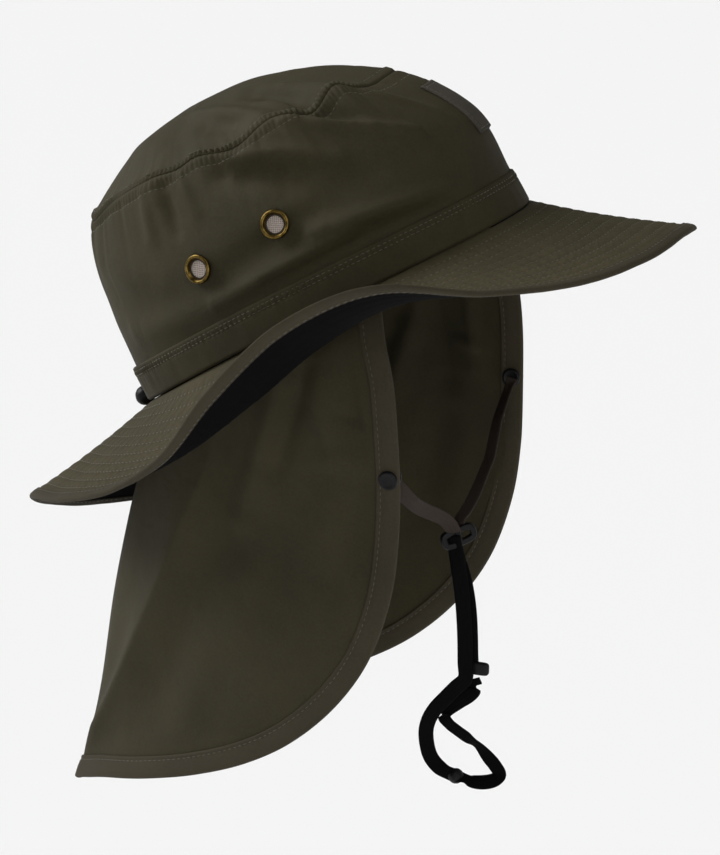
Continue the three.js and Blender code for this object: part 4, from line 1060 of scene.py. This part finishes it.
hem_stitches = stitches("hem_stitches", [
    stitch_set(hem[:, row], facing * hem_out, pitch=HEM_PITCH, length=2.0, radius=ROW_RADIUS)
    for row, facing in ((4, 1), (-5, -1))], thread_olive, "binding_cloth")

# %% [markdown]
# ## Snaps
# A press stud holds each end of the chin strap at the flap's front corner: a low cap outside and a
# socket inside. Both are turned shapes with a soft shoulder and a shallow dish in the face.

# %% Snaps
cap_profile = [(0.3, 1.25), (1.6, 1.28), (2.6, 1.34), (3.0, 1.5), (3.4, 1.62), (3.8, 1.55), (4.15, 1.25),
               (4.35, 0.7), (4.3, 0.1), (4.0, -0.1)]
SNAPS = [(-1.0, "right", 55.2, -55.0), (1.0, "left", 55.0, -52.2)]  # side, hand, x and level
for side, hand, x, level in SNAPS:
    side, level = np.array([side]), np.array([level])
    turn = flap_turn(np.array([x]), level)
    spot, out = flap_plan(turn, level, side)[0], flap_out(turn, level, side)[0]
    for piece, offset, facing, part in (("face", 1.0, out, "cap"), ("back", -2.9, -out, "socket")):
        dress(lathe(f"snap_{piece}_{hand}", spot + out * offset, facing, cap_profile, pole=True),
              matt_plastic, "black_plastic", f"snap_{part}_{hand}")

# %% [markdown]
# ## The chin strap
# The strap is flat elastic 7 mm wide. It comes from both snaps to the slider, and its two tails
# hang below: a short one that ends in a moulded tab, and a long one that loops through a bead. Each
# stretch is a line of points with a direction for its width, from the same table as the solids,
# and the strap's section, with four raised cords, is carried along it.

# %% Strap table
STRAPS = {  # centreline x, y, z and the direction of the width, in millimetres
    "strap_right": [
        (49, -76.8, -53, 1, 0, 2), (53, -76.4, -56.4, 1.2, 0.3, 2.4), (56.4, -73.8, -61, 1.5, 0.6, 3),
        (57.6, -61, -70.8, 2.3, -0.7, 2.6), (56.2, -43, -80, 1.7, -1.1, 2.9),
        (56, -25, -88.4, 1.5, -1.5, 2.7), (56, -12, -94.9, 2.3, -0.6, 2.6),
        (56.4, -5.5, -99.7, 2.4, -0.1, 2.5), (57.2, -2.6, -103.6, 2.8, 0, 1.6)],
    "strap_left": [
        (57.4, 76.9, -52.2, 3, -0.6, 1), (57, 76.3, -54.4, 2.8, -1, 1.1),
        (56.8, 73.6, -57, 2.4, -1.4, 1.2), (57.1, 66, -61.1, 2.4, -1.6, 1.2),
        (58.3, 54, -66.4, 2.8, -1.9, 1.1), (59.5, 45, -72.9, 2.9, -1.7, 0.8),
        (60.3, 37, -79.7, 3, -1.6, 0.8), (60.4, 29, -84.1, 2.9, -1.8, 0.6),
        (60.3, 21, -88.9, 2.8, -2.1, 0.1), (59.9, 14, -93, 2.8, -2.1, -0.2),
        (58.9, 7.5, -96.9, 2.7, -2.2, -0.2), (58, 4, -98.8, 2.8, -2.1, -0.1),
        (57.4, 1.6, -102.4, 3, -0.6, 0)],
    "strap_tail_short": [
        (56.2, 1.6, -108.5, 3.4, 0.2, 0.6), (56.7, 2.6, -115.4, 3.4, 0.4, 0.6),
        (59.6, 2.6, -124.5, 3.4, 0.7, 0.5), (61.7, 2.6, -132.9, 3.4, 0.5, 0.5),
        (63.1, 2.6, -143.3, 3.4, 0.7, 0.4), (63.8, 2.6, -154.9, 3.4, 0.7, 0.4),
        (64.1, 2.6, -165.1, 3.4, 0.7, 0.3), (64.6, 2.6, -171.5, 3.4, 0.7, 0.3)],
    "strap_tail_long": [
        (56.6, -2.4, -105.5, 3.4, 0.1, 0.5), (57.5, -1.4, -112.3, 3.5, 0.2, 0.5),
        (59.4, -1.4, -123.1, 3.2, 1.3, 0.2), (60.9, -1.4, -133.5, 3.2, 1.3, 0.2),
        (61.9, -1.4, -144, 3.2, 1.3, 0.2), (62.5, -1.4, -155.6, 3.2, 1.3, 0.2),
        (62.7, -1.4, -166.2, 3.3, 1.3, 0.1), (62.9, -1.6, -174, 3.2, 0.9, -1.1),
        (58.7, -2, -178.8, 2.8, 0.4, -2), (53.7, -2.4, -184.6, 2.7, 0.3, -2.2),
        (49, -2.4, -190.3, 2.9, 0.5, -1.9), (45.8, -2.2, -195.9, 3.2, 0.8, -1.3),
        (44, -1.6, -202.1, 3.3, 1.2, -0.3), (44.1, -1, -208.8, 3, 1.5, 1),
        (45.8, -0.5, -215.5, 2.7, 1.6, 1.6), (49.2, 0, -220, 2.3, 1.6, 2.1),
        (53.1, 0, -222.3, 2.5, 0, 2.5), (57.8, 0, -223.7, 1.2, 0, 3.3)],
    "strap_loop_return": [
        (58.6, 0, -223.8, 0.9, -2.6, -1.6), (63.2, 0, -224.4, 0.9, -3.3, -0.6),
        (65.4, 0, -225.1, 0.9, -3, -1.6), (70.2, 0, -225.1, 0.8, -2.3, -2.5),
        (75.1, 0.4, -224, 1, -2, -2.7), (78.1, 0.8, -222.3, 2, -1.9, -2.1),
        (79.1, 1.4, -220.2, 3.2, -0.8, -1.1), (76.4, 2, -216.3, 3.4, -0.3, 0.9),
        (73.1, 2.4, -213.1, 3, -0.4, 1.7), (69, 2.6, -208.9, 2.6, -1.7, 1.5),
        (66, 2.8, -206.8, 1.8, -2.2, 2.1), (62.6, 3, -205.1, 1.3, -1.2, 3),
        (57.7, 3.2, -202.4, 1.2, -1.1, 3.1), (53.3, 3.6, -199.7, 1.4, -0.9, 3.1),
        (50.1, 4.6, -196.1, 0, 0.4, 3.5), (51, 5.4, -194.4, -1.4, -0.4, 3.2),
        (57.1, 5.4, -189.1, -2.1, 0.1, 2.8), (63, 5.2, -184.4, -1.9, 0.2, 2.9),
        (65.4, 5, -180.6, -0.4, 0.3, 3.2), (64.2, 4.8, -176.6, 1.8, 0.3, 2.9)]}


def strap_line(rows, count):
    """Centripetal Catmull-Rom: knots are spaced by the square root of the distance between points,
    which keeps the curve from overshooting at tight turns."""
    rows = np.array(rows, float)
    ends = np.concatenate([[2 * rows[0] - rows[1]], rows, [2 * rows[-1] - rows[-2]]])
    gap = np.sqrt(np.maximum(np.linalg.norm(np.diff(ends[:, :3], axis=0), axis=1), 1e-3))[:, None]
    t = np.linspace(0, len(rows) - 1 - 1e-9, count * 8)
    k, f = t.astype(int), (t % 1)[:, None]
    a, b, c, d = ends[k], ends[k + 1], ends[k + 2], ends[k + 3]
    g0, g1, g2 = gap[k], gap[k + 1], gap[k + 2]
    m1 = ((b - a) / g0 - (c - a) / (g0 + g1) + (c - b) / g1) * g1
    m2 = ((c - b) / g1 - (d - b) / (g1 + g2) + (d - c) / g2) * g1
    fine = ((2 * f**3 - 3 * f**2 + 1) * b + (f**3 - 2 * f**2 + f) * m1
            + (3 * f**2 - 2 * f**3) * c + (f**3 - f**2) * m2)
    far = arc_lengths(fine[:, :3])
    at = np.linspace(0, far[-1], count)
    return np.stack([np.interp(at, far, fine[:, k]) for k in range(6)], 1), far[-1]


# %% Strap section and ribbons
STRAP_WIDTH, STRAP_THICK = 7.0, 1.2
across_u = np.linspace(-1, 1, 25)
cords = 0.5 * STRAP_THICK * (0.80 + 0.20 * np.abs(np.cos(2 * np.pi * across_u)) ** 0.6)
cords *= np.sqrt(np.clip(1 - np.abs(across_u) ** 12, 0.02, 1))
strap_face = np.stack([across_u * STRAP_WIDTH / 2, cords], 1)
strap_section = np.concatenate([strap_face, strap_face[::-1] * (1, -1)])


def ribbon(name, rows, count):
    """point = centre + section across * width direction + section height * (ahead x width)."""
    line, length = strap_line(rows, count)
    centre, way = line[:, :3], line[:, 3:]
    ahead = unit(np.gradient(centre, axis=0))
    way = unit(way - ahead * np.sum(way * ahead, axis=1, keepdims=True))
    through = np.cross(ahead, way)
    points = (centre[:, None] + way[:, None] * strap_section[None, :, :1]
              + through[:, None] * strap_section[None, :, 1:])
    points = np.concatenate([points, points[:, :1]], axis=1)
    far = arc_lengths(centre)
    uv = grid_uv(far, arc_lengths(np.concatenate([strap_section, strap_section[:1]])))
    end = [np.broadcast_to(centre[k], points[k].shape) for k in (0, -1)]
    points = np.concatenate([end[0][None], points, end[1][None]])
    uv = np.concatenate([uv[:1], uv, uv[-1:]])
    return surface(name, points, uv), centre, length


straps = {}
COUNTS = dict(strap_right=150, strap_left=150, strap_tail_short=80, strap_tail_long=200,
              strap_loop_return=160)
for node, rows in STRAPS.items():
    piece, centre, length = ribbon(node + "_elastic", rows, COUNTS[node])
    # painted light: the two strap stretches take the lighter copy of the elastic, the tails and loop the
    # black one
    braid = black_elastic if "tail" in node or "loop" in node else strap_elastic_painted_light
    straps[node] = (dress(piece, braid, "black_elastic", node), centre, length)
print({node: round(length) for node, (_, _, length) in straps.items()})

# %% [markdown]
# ## Slider, tab and bead
# The slider is a moulded frame with a bar across its middle; the elastic threads round the bar.
# The frame is a rounded section carried round a rounded rectangle. The tab and bead are
# superellipsoids: cubes whose corners are rounded by raising sines and cosines to a power.

# %% Slider, tab and bead
def squared(value, power):
    return np.sign(value) * np.abs(value) ** power


def block(name, centre, half, axes=np.eye(3), power=0.45, relief=0.0):
    """Superellipsoid: each cosine and sine is raised to power, 1 for a ball and near 0 for a box."""
    columns = 72
    t, p = np.arange(columns) * 2 * np.pi / columns, np.linspace(-np.pi / 2, np.pi / 2, 40)[1:-1]
    t, p = np.meshgrid(t, p, indexing="ij")
    shape = np.stack([squared(np.cos(p), power) * squared(np.cos(t), power),
                      squared(np.cos(p), power) * squared(np.sin(t), power), squared(np.sin(p), power)], -1)
    shape *= 1 + relief * np.sin(9 * t)[..., None] * np.sin(7 * p)[..., None]
    points = centre + (shape * half) @ axes
    uv = np.stack([t, p], -1) * half[0]
    uv = np.concatenate([uv, uv[:1]])
    piece = surface(name, points, uv, wrapped=True, pole=centre - axes[2] * half[2])
    mesh = piece.data
    work = bmesh.new()  # closes the open top with one face
    work.from_mesh(mesh)
    bmesh.ops.holes_fill(work, edges=[e for e in work.edges if e.is_boundary], sides=0)
    bmesh.ops.recalc_face_normals(work, faces=work.faces)
    work.to_mesh(mesh)
    work.free()
    mesh.polygons.foreach_set("use_smooth", np.ones(len(mesh.polygons), bool))
    return piece


def frame_axes(turn, tilt):
    """Slider directions: long way, through and up, turned about Z and tilted up."""
    a, b = math.radians(turn), math.radians(tilt)
    long = np.array([math.cos(a) * math.cos(b), math.sin(a) * math.cos(b), math.sin(b)])
    through = np.array([-math.sin(a), math.cos(a), 0.0])
    return np.stack([long, through, np.cross(long, through)])


def hoop(name, centre, axes, half_long, half_high, wire_in, wire_through):
    """A frame: a rounded section carried round a superellipse loop in the long-up plane."""
    t = np.arange(120) * 2 * np.pi / 120
    loop = np.stack([half_long * squared(np.cos(t), 0.5), 0 * t, half_high * squared(np.sin(t), 0.5)], 1)
    ahead = unit(np.roll(loop, -1, axis=0) - np.roll(loop, 1, axis=0))
    inward = np.cross(ahead, [0, 1, 0])
    s = np.arange(20) * 2 * np.pi / 20
    ring = (loop[:, None] + inward[:, None] * (wire_in * squared(np.cos(s), 0.6))[None, :, None]
            + np.array([0, 1, 0]) * (wire_through * squared(np.sin(s), 0.6))[None, :, None])
    ring = np.concatenate([ring, ring[:, :1]], axis=1)
    uv = np.stack(np.meshgrid(np.arange(121) * 0.4, np.arange(21) * 0.5, indexing="ij"), -1)
    return surface(name, centre + ring @ axes, uv, wrapped=True)


SLIDER = dict(at=np.array([58.5, 0, -106.2]), turn=35, tilt=20, half_long=7.0, half_high=3.2,
              wire_in=1.5, wire_through=1.6)
TAB = dict(centre=np.array([68.4, 2.6, -170.0]), half=np.array([4.5, 1.35, 3.1]))
BEAD = dict(centre=np.array([58.2, 0.0, -223.7]), half=np.full(3, 3.6), power=1.0, relief=0.03)

slider_axes = frame_axes(SLIDER["turn"], SLIDER["tilt"])
slider = hoop("slider_frame", SLIDER["at"], slider_axes, SLIDER["half_long"], SLIDER["half_high"],
              SLIDER["wire_in"], SLIDER["wire_through"])
dress(slider, matt_plastic, "black_plastic", "strap_slider")
bar = block("slider_bar", SLIDER["at"], np.array([1.3, 1.5, SLIDER["half_high"]]), slider_axes)
dress(bar, matt_plastic, "black_plastic")
tab, bead = block("strap_end_tab_moulded", **TAB), block("strap_bead_moulded", **BEAD)
dress(tab, matt_plastic, "black_plastic", "strap_end_tab")
dress(bead, matt_plastic, "black_plastic", "strap_bead")

# %% [markdown]
# The elastic is five stretches of one flat cord, 7 mm wide, with the lengths the photograph shows.
# A table lists what each stretch's far end meets; the loop below only reads each stretch back.

FAR_ENDS = dict(strap_right=("object", ()), strap_left=("object", ()), strap_tail_short=("fitting", [tab]),
                strap_tail_long=("object", [bead]), strap_loop_return=("object", ()))
for node, (far_end, with_pieces) in FAR_ENDS.items():
    piece, centre, length = straps[node]

# %% [markdown]
# ## The size cord at the back
# A thin cord runs inside the band and comes out at the centre back through a black ball that
# holds it, so the wearer can draw the crown tighter.

# %% Size cord and its ball
BALL = dict(x=-111.4, level=0.4, radius=4.6)
SIZE_CORD = dict(start=-101, length=10, rise=0.8, radius=1.2)
ball = block("size_ball", worn(np.array([BALL["x"], 0, BALL["level"]])), np.full(3, BALL["radius"]),
             power=0.95, relief=0.01)
dress(ball, matt_plastic, "black_plastic", "rear_stopper")
cord_t = np.linspace(0, 1, 24)
cord_line = worn(np.stack([SIZE_CORD["start"] - SIZE_CORD["length"] * cord_t, 0 * cord_t,
                           BALL["level"] + SIZE_CORD["rise"] * np.sin(np.pi * cord_t)], 1))


def tube(name, line, radius, material, slot, *nodes):
    """A round cord: circles of radius about the line, with sideways and up directions."""
    ahead = unit(np.gradient(line, axis=0))
    side = unit(np.cross(ahead, [0, 0, 1.0]))
    up = np.cross(side, ahead)
    t = np.linspace(0, 2 * np.pi, 17)
    points = (line[:, None] + radius * np.cos(t)[None, :, None] * side[:, None]
              + radius * np.sin(t)[None, :, None] * up[:, None])
    uv = grid_uv(arc_lengths(line), t * radius)
    return dress(surface(name, points, uv), material, slot, *nodes)


tube("size_cord", cord_line, SIZE_CORD["radius"], black_elastic, "black_elastic", "stopper_cord")

# %% [markdown]
# ## Floor and light
# A pale floor lies well below the hat, which is held up as a head would hold it. The light is a dim
# even room with a broad key light from the upper left, a weak one from the front and a low fill
# that reaches under the brim, as in a product studio. Wide sun lamps light all of the floor alike,
# so the background stays even.

# %% Floor and lights
FLOOR_HALF, FLOOR_LEVEL, ROOM_LIGHT = 30000, -1500.0, 0.17  # millimetres, and the even light's strength
across = np.linspace(-FLOOR_HALF, FLOOR_HALF, 3)
floor_grid = np.stack([*np.meshgrid(across, across, indexing="ij"), np.full((3, 3), FLOOR_LEVEL)], -1)
floor = surface("studio_floor", floor_grid, floor_grid[..., :2])
floor_paint, _, floor_shader = start_material("pale_floor_paint", Roughness=0.9,
                                              Specular_IOR_Level=0.1)
floor_shader.inputs["Base Color"].default_value = linear("#f7f7f7")
floor.data.materials.append(floor_paint)

world = bpy.data.worlds.new("studio")
bpy.context.scene.world = world
world.use_nodes = True
world.node_tree.nodes["Background"].inputs["Color"].default_value = (1, 1, 1, 1)
world.node_tree.nodes["Background"].inputs["Strength"].default_value = ROOM_LIGHT


def soft_sun(name, away, strength, spread):
    """A sun lamp shining from the direction away, spread degrees wide."""
    lamp = bpy.data.objects.new(name, bpy.data.lights.new(name, "SUN"))
    bpy.context.scene.collection.objects.link(lamp)
    lamp.data.energy, lamp.data.angle = strength, math.radians(spread)
    away = unit(np.array(away, float))
    lamp.rotation_euler = (math.acos(away[2]), 0, math.atan2(away[0], -away[1]))
    return lamp


LIGHTS = [  # name, shares of rightward, toward and straight up, strength, spread
    ("key_light", (-1.0, -0.28, 0.8), 3.35, 38), ("front_light", (0.6, 0.7, 0.75), 0.7, 40),
    ("fill_light", (0.05, 0.95, -0.18), 1.0, 40)]
for name, shares, strength, spread in LIGHTS:
    soft_sun(name, np.array(shares) @ np.stack([rightward, toward, (0, 0, 1)]), strength, spread)
bpy.context.scene.view_settings.view_transform = "Standard"
bpy.context.scene.view_settings.look = "None"
print("floor and three soft lights are set")
